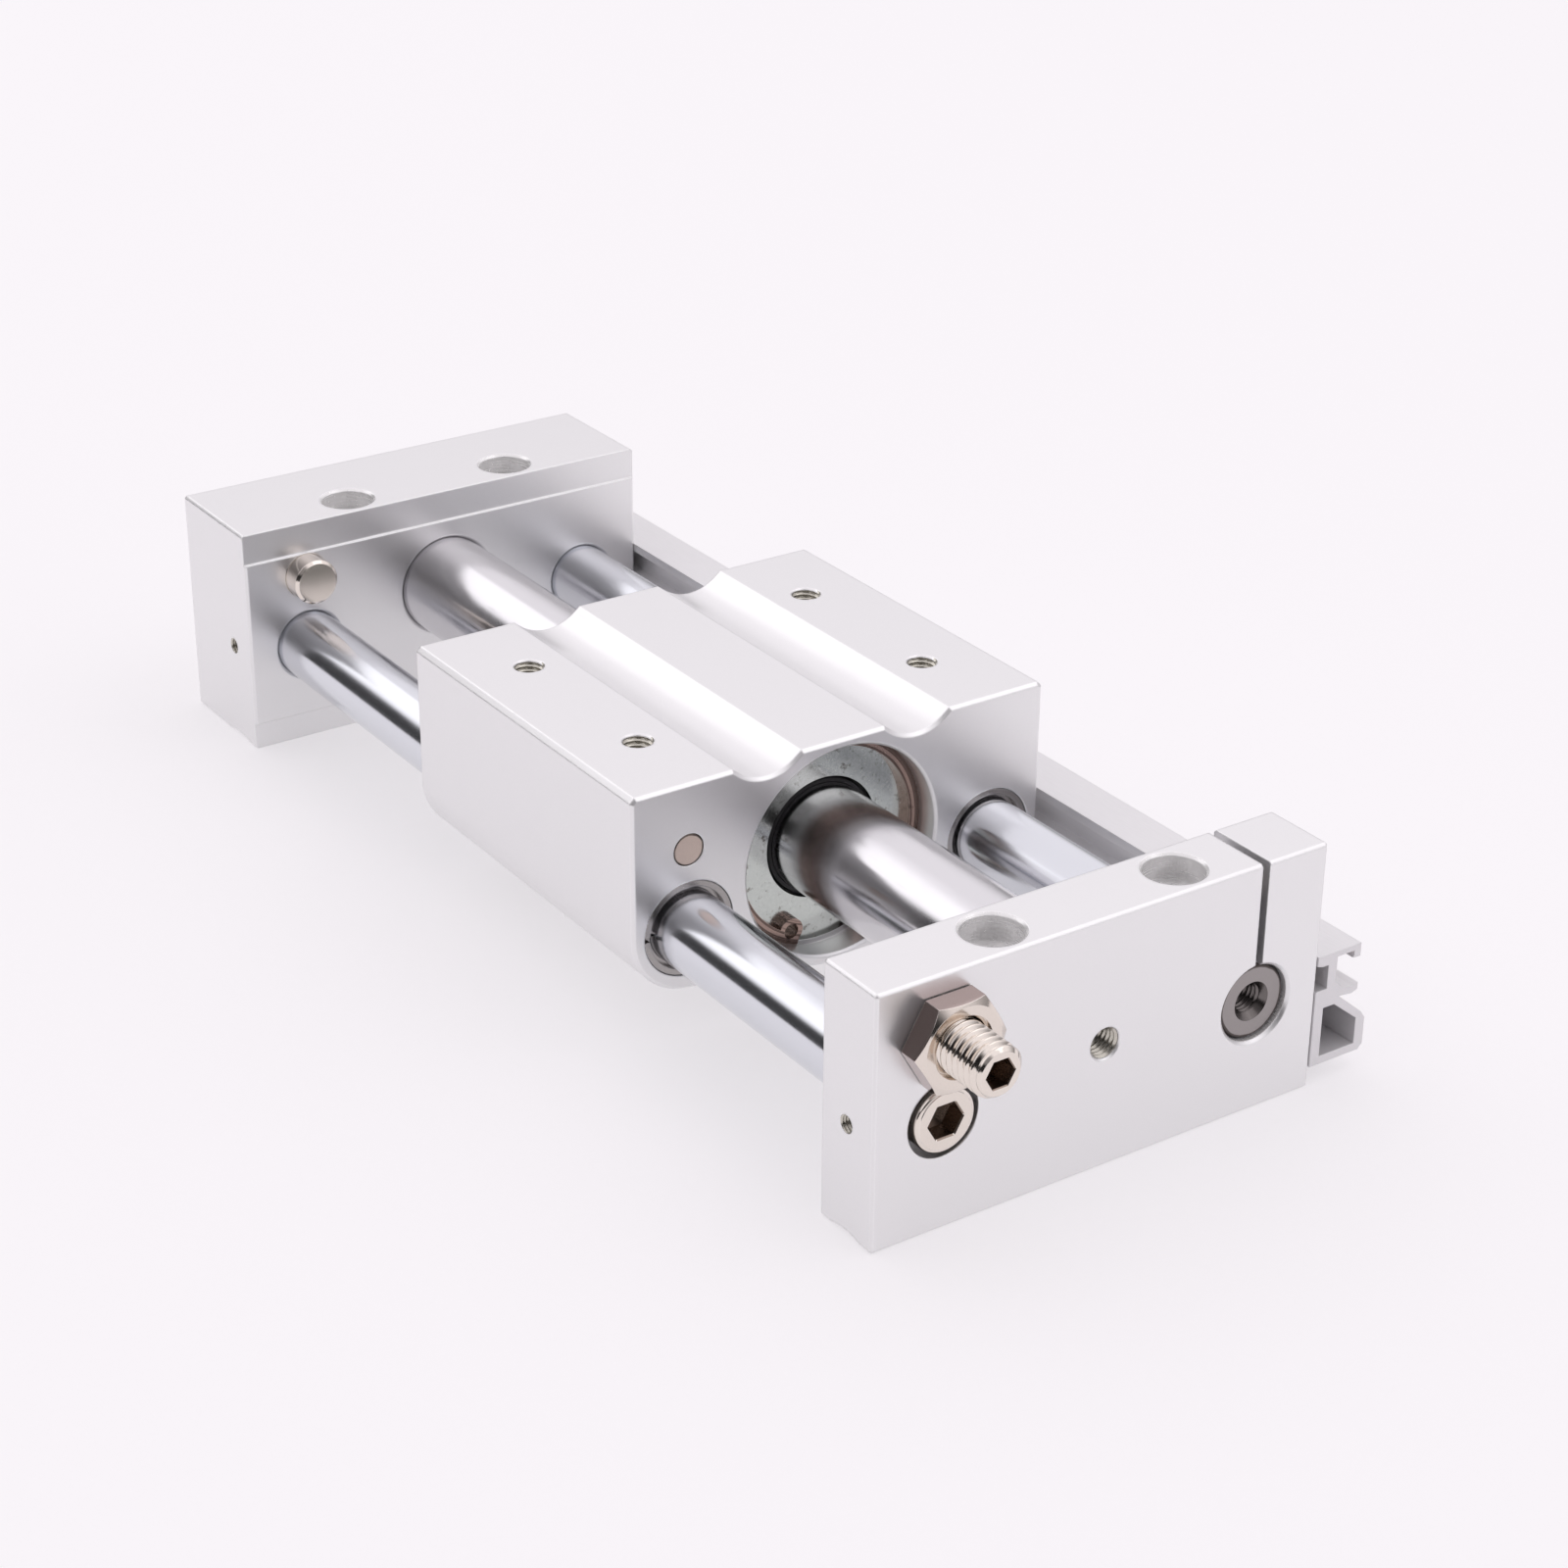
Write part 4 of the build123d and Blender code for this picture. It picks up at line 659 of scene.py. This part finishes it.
def turn_piece(name, rows, y, z, segments=96, sharp_above=30, closed=False):
    mesh = bmesh.new()
    hoops = []
    for x, radius in rows:
        if radius == 0:
            hoops.append([mesh.verts.new((x * MM, y * MM, z * MM))])
            continue
        hoop = []
        for step in range(segments):
            angle = 2 * math.pi * step / segments
            reach = radius(angle) if callable(radius) else radius
            place = x(angle) if callable(x) else x
            across, up = y + reach * math.cos(angle), z + reach * math.sin(angle)
            hoop.append(mesh.verts.new((place * MM, across * MM, up * MM)))
        hoops.append(hoop)
    if closed:
        hoops.append(hoops[0])
    for first, second in zip(hoops, hoops[1:]):
        for step in range(segments):
            after = (step + 1) % segments
            left = [first[step], first[after]] if len(first) > 1 else first
            right = [second[after], second[step]] if len(second) > 1 else second
            mesh.faces.new(left + right)
    bmesh.ops.recalc_face_normals(mesh, faces=mesh.faces[:])
    data = bpy.data.meshes.new(name)
    mesh.to_mesh(data)
    mesh.free()
    item = bpy.data.objects.new(name, data)
    scene.collection.objects.link(item)
    data.shade_smooth()
    data.set_sharp_from_angle(angle=math.radians(sharp_above))
    print(name, "faces:", len(data.polygons))
    return item


def along(start, end, step):
    count = max(1, round(abs(end - start) / step))
    return [start + (end - start) * i / count for i in range(count + 1)]


def reach_of(face, y, z):
    """How far the middle of a face lies from an axis along X, in mm."""
    return math.hypot(face.center.y / MM - y, face.center.z / MM - z)


# %% [markdown]
# A screw thread is a ridge that climbs by one pitch each time round. That is a rule, so Geometry
# Nodes cut it: the tree works out how far along the helix each point lies, and moves the point in or
# out. An outside thread takes the smaller of the plain radius and the ridge, and an inside thread
# the larger, so the chamfers at the ends survive. The same tree serves the stop bolts, the rod's
# port and every tapped hole, each with its own sizes.

# %% Thread cutting tree
THREAD_ROOT, THREAD_TOP = 0.12, 0.86
WALL_INNER, WALL_OUTER = 0.93, 1.3


def new_geometry_tree(name, inputs):
    tree = bpy.data.node_groups.new(name, "GeometryNodeTree")
    tree.is_modifier = True
    tree.interface.new_socket("Geometry", in_out="INPUT", socket_type="NodeSocketGeometry")
    for label, kind, value in inputs:
        socket = tree.interface.new_socket(label, in_out="INPUT", socket_type=kind)
        if value is not None:
            socket.default_value = value
    tree.interface.new_socket("Geometry", in_out="OUTPUT", socket_type="NodeSocketGeometry")
    return tree, add(tree, "NodeGroupInput", -900), add(tree, "NodeGroupOutput", 900)


thread, given, result = new_geometry_tree(
    "Cut thread",
    [("Axis Y", FLOAT, 0.0), ("Axis Z", FLOAT, 0.0), ("From X", FLOAT, 0.0), ("To X", FLOAT, 0.01),
     ("Pitch", FLOAT, 0.001), ("Crest radius", FLOAT, 0.004), ("Core radius", FLOAT, 0.0033),
     ("Inside thread", "NodeSocketBool", False), ("Finish", "NodeSocketMaterial", None)])
tree = thread
crest, core = given.outputs["Crest radius"], given.outputs["Core radius"]

# The ridge: its radius at this point rises and falls once in each pitch along the helix.
spot = add(tree, "GeometryNodeInputPosition")
parts = add(tree, "ShaderNodeSeparateXYZ")
join(tree, spot.outputs[0], parts.inputs[0])
along_x = parts.outputs["X"]
off_y, off_z, radius = distance_from_axis(tree, given, parts)
turns_round = over(tree, calculate(tree, "ARCTAN2", off_z, off_y), 2 * math.pi)
climb = minus(tree, over(tree, along_x, given.outputs["Pitch"]), turns_round)
saw = minus(tree, times(tree, calculate(tree, "FRACT", climb), 2.0), 1.0)
wave = calculate(tree, "ABSOLUTE", saw)
flank = fill(add(tree, "ShaderNodeMapRange"), From_Min=THREAD_ROOT, From_Max=THREAD_TOP)
join(tree, wave, flank.inputs["Value"])
join(tree, core, flank.inputs["To Min"])
join(tree, crest, flank.inputs["To Max"])
ridge = flank.outputs["Result"]

# The move: from the plain radius to the ridge, straight towards or away from the axis.
cut_radius = add(tree, "GeometryNodeSwitch", input_type="FLOAT")
join(tree, given.outputs["Inside thread"], cut_radius.inputs[0])
join(tree, calculate(tree, "MINIMUM", radius, ridge), cut_radius.inputs[1])
join(tree, calculate(tree, "MAXIMUM", radius, ridge), cut_radius.inputs[2])
stretch = minus(tree, over(tree, cut_radius.outputs[0], radius), 1.0)
shift = add(tree, "ShaderNodeCombineXYZ")
join(tree, times(tree, off_y, stretch), shift.inputs["Y"])
join(tree, times(tree, off_z, stretch), shift.inputs["Z"])

# The zone: only the threaded length, and only the wall near the thread.
after_start = calculate(tree, "GREATER_THAN", along_x, given.outputs["From X"])
before_end = calculate(tree, "LESS_THAN", along_x, given.outputs["To X"])
outside_core = calculate(tree, "GREATER_THAN", radius, times(tree, core, WALL_INNER))
inside_wall = calculate(tree, "LESS_THAN", radius, times(tree, crest, WALL_OUTER))
zone = times(tree, times(tree, after_start, before_end), times(tree, outside_core, inside_wall))

move = add(tree, "GeometryNodeSetPosition")
join(tree, given.outputs["Geometry"], move.inputs["Geometry"])
join(tree, zone, move.inputs["Selection"])
join(tree, shift.outputs[0], move.inputs["Offset"])
real = add(tree, "GeometryNodeRealizeInstances")
join(tree, move.outputs[0], real.inputs[0])
coat = add(tree, "GeometryNodeSetMaterial")
join(tree, real.outputs[0], coat.inputs["Geometry"])
join(tree, zone, coat.inputs["Selection"])
join(tree, given.outputs["Finish"], coat.inputs["Material"])
join(tree, coat.outputs[0], result.inputs[0])
print("thread tree nodes:", len(thread.nodes))

# %% [markdown]
# A modifier reads the tree's inputs by the identifiers of their sockets, so the helper looks each
# one up by its name. A piece that is cut is turned into a plain mesh, and the modifier is dropped.
# A thread is written as three numbers: its pitch, and its radius at the crest and at the core.

# %% Use the thread tree


def settle(item):
    """Turns an object with modifiers into a plain mesh."""
    bpy.context.view_layer.update()
    evaluated = item.evaluated_get(bpy.context.evaluated_depsgraph_get())
    plain = bpy.data.meshes.new_from_object(evaluated)
    item.modifiers.clear()
    item.data = plain
    plain.name = item.name
    return item


def cut_thread(item, axis, span, sizes, inside, finish):
    pitch, crest_radius, core_radius = sizes
    values = {"Axis Y": axis[0] * MM, "Axis Z": axis[1] * MM, "From X": span[0] * MM,
              "To X": span[1] * MM, "Pitch": pitch * MM, "Crest radius": crest_radius * MM,
              "Core radius": core_radius * MM, "Inside thread": inside, "Finish": finish}
    cutter = item.modifiers.new("thread", "NODES")
    cutter.node_group = thread
    for socket in thread.interface.items_tree:
        if socket.in_out == "INPUT" and socket.name in values:
            cutter[socket.identifier] = values[socket.name]
    return settle(item)


# %% [markdown]
# The tube is thin stainless steel, and the guide rods are ground and hard chromed. The places and radii
# are those of the CAD model. The tube and the plain rod are only turned, with small chamfers at their
# ends, and the rod's ends have the blind holes that the cap screws go into. A finished piece takes the
# place of its CAD node and rides on the same body.

# %% Tube and plain rod
TUBE_FROM, TUBE_TO = -93.5, 94.0
TUBE_INSIDE, TUBE_OUTSIDE = 8.0, 8.8
TUBE_CHAMFER = 0.1
ROD_RADIUS = 6.0
ROD_CHAMFER = 0.5
SOLID_FROM, SOLID_TO = -101.0, 90.0
SCREW_HOLE_RADIUS, SCREW_HOLE_DEPTH = 3.02, 15.0


def dress(item, body, slot, node, *finishes):
    for finish in finishes:
        item.data.materials.append(finish)
    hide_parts(node)
    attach(item, body)


tube = turn_piece(
    "turned_tube",
    [(TUBE_FROM, TUBE_INSIDE), (TUBE_FROM, TUBE_OUTSIDE - TUBE_CHAMFER),
     (TUBE_FROM + TUBE_CHAMFER, TUBE_OUTSIDE), (TUBE_TO - TUBE_CHAMFER, TUBE_OUTSIDE),
     (TUBE_TO, TUBE_OUTSIDE - TUBE_CHAMFER), (TUBE_TO, TUBE_INSIDE)],
    0, TUBE_Z, segments=160, closed=True)
dress(tube, "end_frame", "polished_stainless", "cylinder_tube", stainless)


def rod_end(face, way):
    """Rows from the bottom of the screw hole out to the ground surface."""
    bottom = face - way * SCREW_HOLE_DEPTH
    return [(bottom, 0), (bottom, SCREW_HOLE_RADIUS), (face, SCREW_HOLE_RADIUS),
            (face, ROD_RADIUS - ROD_CHAMFER), (face - way * ROD_CHAMFER, ROD_RADIUS)]


solid_rod = turn_piece("turned_solid_rod", rod_end(SOLID_FROM, -1) + rod_end(SOLID_TO, 1)[::-1],
                       -ROD_Y, ROD_Z, segments=128)
dress(solid_rod, "end_frame", "hard_chrome", "guide_rod_solid", chrome)

# %% [markdown]
# The rod on the rail side is hollow: its end is an air port, so its dark turned face and its thread
# can be seen in the front plate. Three finishes share the piece. Each face gets its own by how far
# it lies from the axis and from the end, which is simpler than joining three pieces.

# %% Hollow rod
HOLLOW_FROM, HOLLOW_TO = -95.95, 98.0
AIR_PASSAGE = 1.75
PORT_FROM, PORT_TO = 90.0, 97.0
PORT_STEP = 0.07
PORT_THREAD = (0.8, 2.5, 2.1)
MOUTH_FROM = HOLLOW_TO - 0.5
FACE_RADIUS, FACE_FROM = 5.4, 97.7
THREAD_WITHIN, THREAD_BEFORE = 2.8, 97.6
END_GAP = 0.05

hollow_rows = [(HOLLOW_TO, 5.55), (HOLLOW_TO - 0.4, 5.95), (MOUTH_FROM, ROD_RADIUS),
               (HOLLOW_FROM + ROD_CHAMFER, ROD_RADIUS), (HOLLOW_FROM, ROD_RADIUS - ROD_CHAMFER),
               (HOLLOW_FROM, AIR_PASSAGE), (PORT_FROM, AIR_PASSAGE)]
hollow_rows += [(x, PORT_THREAD[2]) for x in along(PORT_FROM, PORT_TO, PORT_STEP)]
hollow_rows += [(MOUTH_FROM, 2.6), (HOLLOW_TO, 3.1)]
hollow_rod = turn_piece("turned_hollow_rod", hollow_rows, ROD_Y, ROD_Z, segments=128, closed=True)
for finish in (chrome, cut_steel, deep_thread):
    hollow_rod.data.materials.append(finish)
for face in hollow_rod.data.polygons:
    reach, x = reach_of(face, ROD_Y, ROD_Z), face.center.x / MM
    face.material_index = int(reach < FACE_RADIUS or x > FACE_FROM)
    if reach < THREAD_WITHIN and x < THREAD_BEFORE:
        face.material_index = 2
span = (PORT_FROM + END_GAP, HOLLOW_TO - END_GAP)
cut_thread(hollow_rod, (ROD_Y, ROD_Z), span, PORT_THREAD, True, deep_thread)
dress(hollow_rod, "end_frame", "hard_chrome", "guide_rod_hollow")

# %% [markdown]
# A stop bolt is a threaded bar with a hexagon socket in its outer end. It is turned plain with many
# close rows, and the thread tree then shapes them. The rim at the outer end is rounded in a few
# short steps, and the mouth of the socket has a thin chamfer, because these catch the light.

# %% Stop bolts
BOLT_THREAD = (1.25, 4.0, 3.32)
BOLT_RADIUS = BOLT_THREAD[1]
FULL_FROM, FULL_TO = 1.0, 0.8
BOLT_STEP = 0.1
BOLT_RIM = ((0.7, 3.9), (0.5, 3.7), (0.3, 3.5), (0.12, 3.32), (0.0, 3.2))
TIP_CHAMFER = 0.5
TIP_LENGTH = 4.4
SOCKET_FLATS = 4.0
SOCKET_DEPTH, SOCKET_POINT = 4.0, 4.7
MOUTH_CHAMFER = 0.15
SOCKET_WITHIN = 2.35
FACING_ALONG = 0.999


def shade_socket(item, y, z, within):
    """Paints the walls of a hexagon socket with dark nickel: painted shade in the hollow."""
    item.data.materials.append(painted_socket_shade)
    for face in item.data.polygons:
        if reach_of(face, y, z) < within and abs(face.normal.x) < FACING_ALONG:
            face.material_index = 1


def stop_bolt(name, tip, outer_end, node, body):
    way = 1 if outer_end > tip else -1
    socket, mouth = hexagon(SOCKET_FLATS), hexagon(SOCKET_FLATS + 2 * MOUTH_CHAMFER)
    full_length = along(tip + FULL_FROM * way, outer_end - FULL_TO * way, BOLT_STEP)
    rows = [(tip, 0), (tip, BOLT_RADIUS - TIP_CHAMFER), (tip + TIP_CHAMFER * way, BOLT_RADIUS)]
    rows += [(x, BOLT_RADIUS) for x in full_length]
    rows += [(outer_end - depth * way, radius) for depth, radius in BOLT_RIM]
    rows += [(outer_end, mouth), (outer_end - MOUTH_CHAMFER * way, socket),
             (outer_end - SOCKET_DEPTH * way, socket), (outer_end - SOCKET_POINT * way, 0)]
    bolt = turn_piece(name, rows, -ROD_Y, STOP_Z, segments=72, sharp_above=35)
    bolt.data.materials.append(nickel)
    shade_socket(bolt, -ROD_Y, STOP_Z, SOCKET_WITHIN)
    span = sorted((tip + TIP_LENGTH * way, outer_end - END_GAP * way))
    cut_thread(bolt, (-ROD_Y, STOP_Z), span, BOLT_THREAD, False, nickel)
    dress(bolt, body, "nickel_plate", node)


stop_bolt("threaded_stop_front", 82.8, 110.8, "stop_bolt_front", "front_stop")
stop_bolt("threaded_stop_rear", -82.3, -121.8, "stop_bolt_rear", "rear_stop")

# %% [markdown]
# The lock nuts are thin hexagons. The outer face is turned to a shallow cone, which rounds the
# corners, and the face on the plate has a low round pad. The curved line between flat and cone is
# worked out: at each angle it lies as deep as the cone has sunk by the time it is as wide as the
# hexagon. Taking the smaller of cone and hexagon at fixed depths would leave this line jagged.

# %% Lock nuts
FRONT_FACE, REAR_FACE = 99.0, -110.0
NUT_FLATS = 13.0
NUT_THICKNESS = 4.0
NUT_FACE_RADIUS = 6.15
NUT_HOLE, NUT_MOUTH = 4.02, 4.7
HOLE_CHAMFER = 0.65
PAD_RADIUS, PAD_HEIGHT = 6.0, 0.2
FACING_ACROSS = 0.05


def lock_nut(name, face_x, way, node):
    outline = hexagon(NUT_FLATS)

    def cone_line(angle):
        sunk = (outline(angle) - NUT_FACE_RADIUS) / math.sqrt(3)
        return face_x + way * (NUT_THICKNESS - sunk)

    pad_from = NUT_THICKNESS - PAD_HEIGHT
    rows = [(0.0, NUT_MOUTH), (0.0, NUT_FACE_RADIUS), (pad_from, outline), (pad_from, PAD_RADIUS),
            (NUT_THICKNESS, PAD_RADIUS), (NUT_THICKNESS, NUT_MOUTH),
            (NUT_THICKNESS - HOLE_CHAMFER, NUT_HOLE), (HOLE_CHAMFER, NUT_HOLE)]
    rows = [(face_x + way * (NUT_THICKNESS - depth), radius) for depth, radius in rows]
    rows.insert(2, (cone_line, outline))
    nut = turn_piece(name, rows, -ROD_Y, STOP_Z, segments=144, sharp_above=22, closed=True)
    nut.data.materials.append(nickel_faced)
    nut.data.materials.append(nickel_painted_shade_flats)
    # The flats take the darker nickel: painted shade.
    for face in nut.data.polygons:
        is_flat = abs(face.normal.x) < FACING_ACROSS and reach_of(face, -ROD_Y, STOP_Z) > PAD_RADIUS
        face.material_index = int(is_flat)
    dress(nut, "end_frame", "nickel_plate", node)


lock_nut("chamfered_nut_front", FRONT_FACE, 1, "lock_nut_front")
lock_nut("chamfered_nut_rear", REAR_FACE, -1, "lock_nut_rear")

# %% [markdown]
# The plain rod is held by a cap screw at each end. Its head is knurled on the side, rounded at the
# rim, and has a deep hexagon socket. The knurl is a small wave in the radius, which costs no more
# faces than a plain round head with as many segments.

# %% Cap screws
HEAD_RADIUS = 5.0
HEAD_LENGTH = 6.0
HEAD_FLATS = 5.0
HEAD_STANDS_OUT = 0.6
HEAD_RIM = ((0.0, 4.35), (0.12, 4.42), (0.16, 4.62), (0.3, 4.82), (0.6, 4.96), (0.9, HEAD_RADIUS))
HEAD_FOOT = ((HEAD_LENGTH - 0.4, HEAD_RADIUS), (HEAD_LENGTH, HEAD_RADIUS - 0.3))
HEAD_SOCKET_DEPTH, HEAD_SOCKET_POINT = 3.0, 3.6
HEAD_MOUTH = 0.2
HEAD_SOCKET_WITHIN = 2.95
KNURL_FROM, KNURL_TO = 1.0, 5.5
KNURL_LOW, KNURL_HEIGHT = 0.12, 0.1
KNURL_HALF_WAVES = 36
SHANK_RADIUS, SHANK_END, SHANK_CHAMFER = 3.0, 22.0, 0.6


def knurl(angle):
    return HEAD_RADIUS - KNURL_LOW + KNURL_HEIGHT * abs(math.cos(KNURL_HALF_WAVES * angle))


def rod_screw(name, top_x, way, node):
    socket, mouth = hexagon(HEAD_FLATS), hexagon(HEAD_FLATS + 2 * HEAD_MOUTH)
    rows = [(HEAD_SOCKET_POINT, 0), (HEAD_SOCKET_DEPTH, socket), (HEAD_MOUTH, socket), (0.0, mouth),
            *HEAD_RIM, (KNURL_FROM, knurl), (KNURL_TO, knurl), *HEAD_FOOT, (HEAD_LENGTH, SHANK_RADIUS),
            (SHANK_END - SHANK_CHAMFER, SHANK_RADIUS), (SHANK_END, SHANK_RADIUS - SHANK_CHAMFER),
            (SHANK_END, 0)]
    screw = turn_piece(name, [(top_x - way * depth, radius) for depth, radius in rows],
                       -ROD_Y, ROD_Z, segments=144, sharp_above=25)
    screw.data.materials.append(nickel)
    shade_socket(screw, -ROD_Y, ROD_Z, HEAD_SOCKET_WITHIN)
    dress(screw, "end_frame", "nickel_plate", node)


rod_screw("socket_screw_front", FRONT_FACE + HEAD_STANDS_OUT, 1, "rod_screw_front")
rod_screw("socket_screw_rear", REAR_FACE - HEAD_STANDS_OUT, -1, "rod_screw_rear")

# %% [markdown]
# The CAD model leaves tapped holes plain at their core size. Here each plate and the block is copied,
# and threaded plugs are taken out of the copy, so the grooves are real and the mouths keep their
# chamfers. The faces that a plug cuts take the plug's own finish. A plug is turned at the crest
# radius, and the thread tree then cuts its grooves down to the core.

# %% Threaded plugs
PLUG_START = -0.5
PLUG_POINT = 0.6
PLUG_STEP = 0.05
ROWS_A_PITCH = 11
SINK_FROM, SINK_TO = -0.2, 0.6
SINK_WIDE, SINK_NARROW = 5.1, 4.3


def threaded_plug(name, depth, sizes):
    pitch, crest_radius, core_radius = sizes
    thread_end = depth - PLUG_POINT
    rows = [(PLUG_START, 0)]
    rows += [(x, crest_radius) for x in along(PLUG_START, thread_end, pitch / ROWS_A_PITCH)]
    rows += [(thread_end + PLUG_STEP, core_radius), (depth, core_radius), (depth, 0)]
    plug = turn_piece(name, rows, 0, 0, segments=48, sharp_above=50)
    plug.data.materials.append(machined)
    return cut_thread(plug, (0, 0), (PLUG_START + 0.01, thread_end), sizes, False, machined)


m5_plug = threaded_plug("m5_plug", 8.9, (0.8, 2.46, 2.12))
port_plug = threaded_plug("port_plug", 4.9, (0.8, 2.5, 2.12))
m3_plug = threaded_plug("m3_plug", 4.4, (0.5, 1.5, 1.27))
sink_rows = [(SINK_FROM, 0), (SINK_FROM, SINK_WIDE), (SINK_TO, SINK_NARROW), (SINK_TO, 0)]
countersink = turn_piece("countersink", sink_rows, 0, 0)
countersink.data.materials.append(bored)

# %% [markdown]
# A CAD mesh is loose triangles, so its copy is merged first, and what the Boolean modifier leaves
# open is filled. Drilled walls are then marked by their distance from the hole's axis, and the
# normals are weighed by area, so that the large flat faces stay flat next to the fine threads.

# %% Helpers for the tapped pieces
MERGE_WITHIN = 1e-7
SHARP_ABOVE = 24
WALL_MARGIN = 0.05
WALL_TILT = 0.2
BY_AREA = 100


def merged(source):
    mesh = bmesh.new()
    mesh.from_mesh(source)
    bmesh.ops.remove_doubles(mesh, verts=mesh.verts, dist=MERGE_WITHIN)
    return mesh


def plain_copy(node, name):
    mesh = merged(frame["nodes"][node].data)
    data = bpy.data.meshes.new(name)
    mesh.to_mesh(data)
    mesh.free()
    data.attributes.remove(data.attributes["custom_normal"])
    data.materials.clear()
    for finish in (anodised, machined, bored):
        data.materials.append(finish)
    item = bpy.data.objects.new(name, data)
    scene.collection.objects.link(item)
    return item


def tap(item, plug, mouths, inward):
    """Cuts the plug into the item at each mouth, pointing inward."""
    aim = Vector(inward).to_track_quat("X", "Z").to_matrix().to_4x4()
    cutter_mesh = bmesh.new()
    for mouth in mouths:
        one = plug.data.copy()
        one.transform(Matrix.Translation(Vector(mouth) * MM) @ aim)
        cutter_mesh.from_mesh(one)
    data = bpy.data.meshes.new("plugs")
    cutter_mesh.to_mesh(data)
    cutter_mesh.free()
    data.materials.append(plug.data.materials[0])
    cutter = bpy.data.objects.new("plugs", data)
    scene.collection.objects.link(cutter)
    hole = item.modifiers.new("taps", "BOOLEAN")
    hole.operation = "DIFFERENCE"
    hole.solver = "EXACT"
    hole.material_mode = "TRANSFER"
    hole.object = cutter
    before = len(item.data.polygons)
    settle(item)
    bpy.data.objects.remove(cutter)
    mesh = merged(item.data)
    bmesh.ops.holes_fill(mesh, edges=[edge for edge in mesh.edges if edge.is_boundary])
    still_open = sum(edge.is_boundary for edge in mesh.edges)
    mesh.to_mesh(item.data)
    mesh.free()
    print(item.name, "faces:", before, "->", len(item.data.polygons), "open edges:", still_open)


def finish_holes(item, holes):
    """Marks the walls of drilled holes, each given as an axis, its two places and its radius."""
    for face in item.data.polygons:
        for axis, first, second, radius in holes:
            centre = [value / MM for value in face.center]
            across = [value for place, value in enumerate(centre) if place != axis]
            off = math.hypot(across[0] - first, across[1] - second)
            if off < radius + WALL_MARGIN and abs(face.normal[axis]) < WALL_TILT:
                face.material_index = 2


def smooth_faces(item):
    item.data.shade_smooth()
    item.data.set_sharp_from_angle(angle=math.radians(SHARP_ABOVE))
    weigh = item.modifiers.new("flat faces stay flat", "WEIGHTED_NORMAL")
    weigh.keep_sharp = True
    weigh.weight = BY_AREA
    return settle(item)


# %% [markdown]
# Both end plates have two base holes with countersunk mouths and a small tapped hole in the side.
# The front plate also has the air port and the seat of the hollow rod. The block has four tapped
# holes in its top, where a table is screwed on.

# %% Plates and slide block
PLATE_X = 93.0
PLATE_TOP = 40.0
PLATE_SIDE = -39.0
BASE_HOLE_Y, BASE_HOLE_RADIUS = 15.75, 4.9
PORT_Z = 20.0
ROD_SEAT_RADIUS = 6.6
BLOCK_X, BLOCK_TOP = 4.0, 41.2
TABLE_HOLE_X, TABLE_HOLE_Y = 16.0, 26.0
BUSH_SEAT_RADIUS = 7.9
X_AXIS, Z_AXIS = 0, 2


def finish_plate(node, name, plate_x, port=(), more_holes=()):
    plate = plain_copy(node, name)
    tap(plate, countersink, [(plate_x, y, PLATE_TOP) for y in (-BASE_HOLE_Y, BASE_HOLE_Y)], (0, 0, -1))
    if port:
        tap(plate, port_plug, [port], (-1, 0, 0))
    tap(plate, m3_plug, [(plate_x, PLATE_SIDE, ROD_Z)], (0, 1, 0))
    base_holes = [(Z_AXIS, plate_x, y, BASE_HOLE_RADIUS) for y in (BASE_HOLE_Y, -BASE_HOLE_Y)]
    finish_holes(plate, base_holes + list(more_holes))
    dress(smooth_faces(plate), "end_frame", "anodised_aluminium", node)


finish_plate("front_plate", "tapped_front_plate", PLATE_X, port=(FRONT_FACE, 0, PORT_Z),
             more_holes=[(X_AXIS, ROD_Y, ROD_Z, ROD_SEAT_RADIUS)])
finish_plate("rear_plate", "tapped_rear_plate", -PLATE_X)

block = plain_copy("slide_block", "tapped_slide_block")
table_holes = [(BLOCK_X + x, y, BLOCK_TOP) for x in (-TABLE_HOLE_X, TABLE_HOLE_X)
               for y in (-TABLE_HOLE_Y, TABLE_HOLE_Y)]
tap(block, m5_plug, table_holes, (0, 0, -1))
finish_holes(block, [(X_AXIS, y, ROD_Z, BUSH_SEAT_RADIUS) for y in (-ROD_Y, ROD_Y)])
dress(smooth_faces(block), "slide", "anodised_aluminium", "slide_block")
for plug in (m5_plug, port_plug, m3_plug, countersink):
    bpy.data.objects.remove(plug)
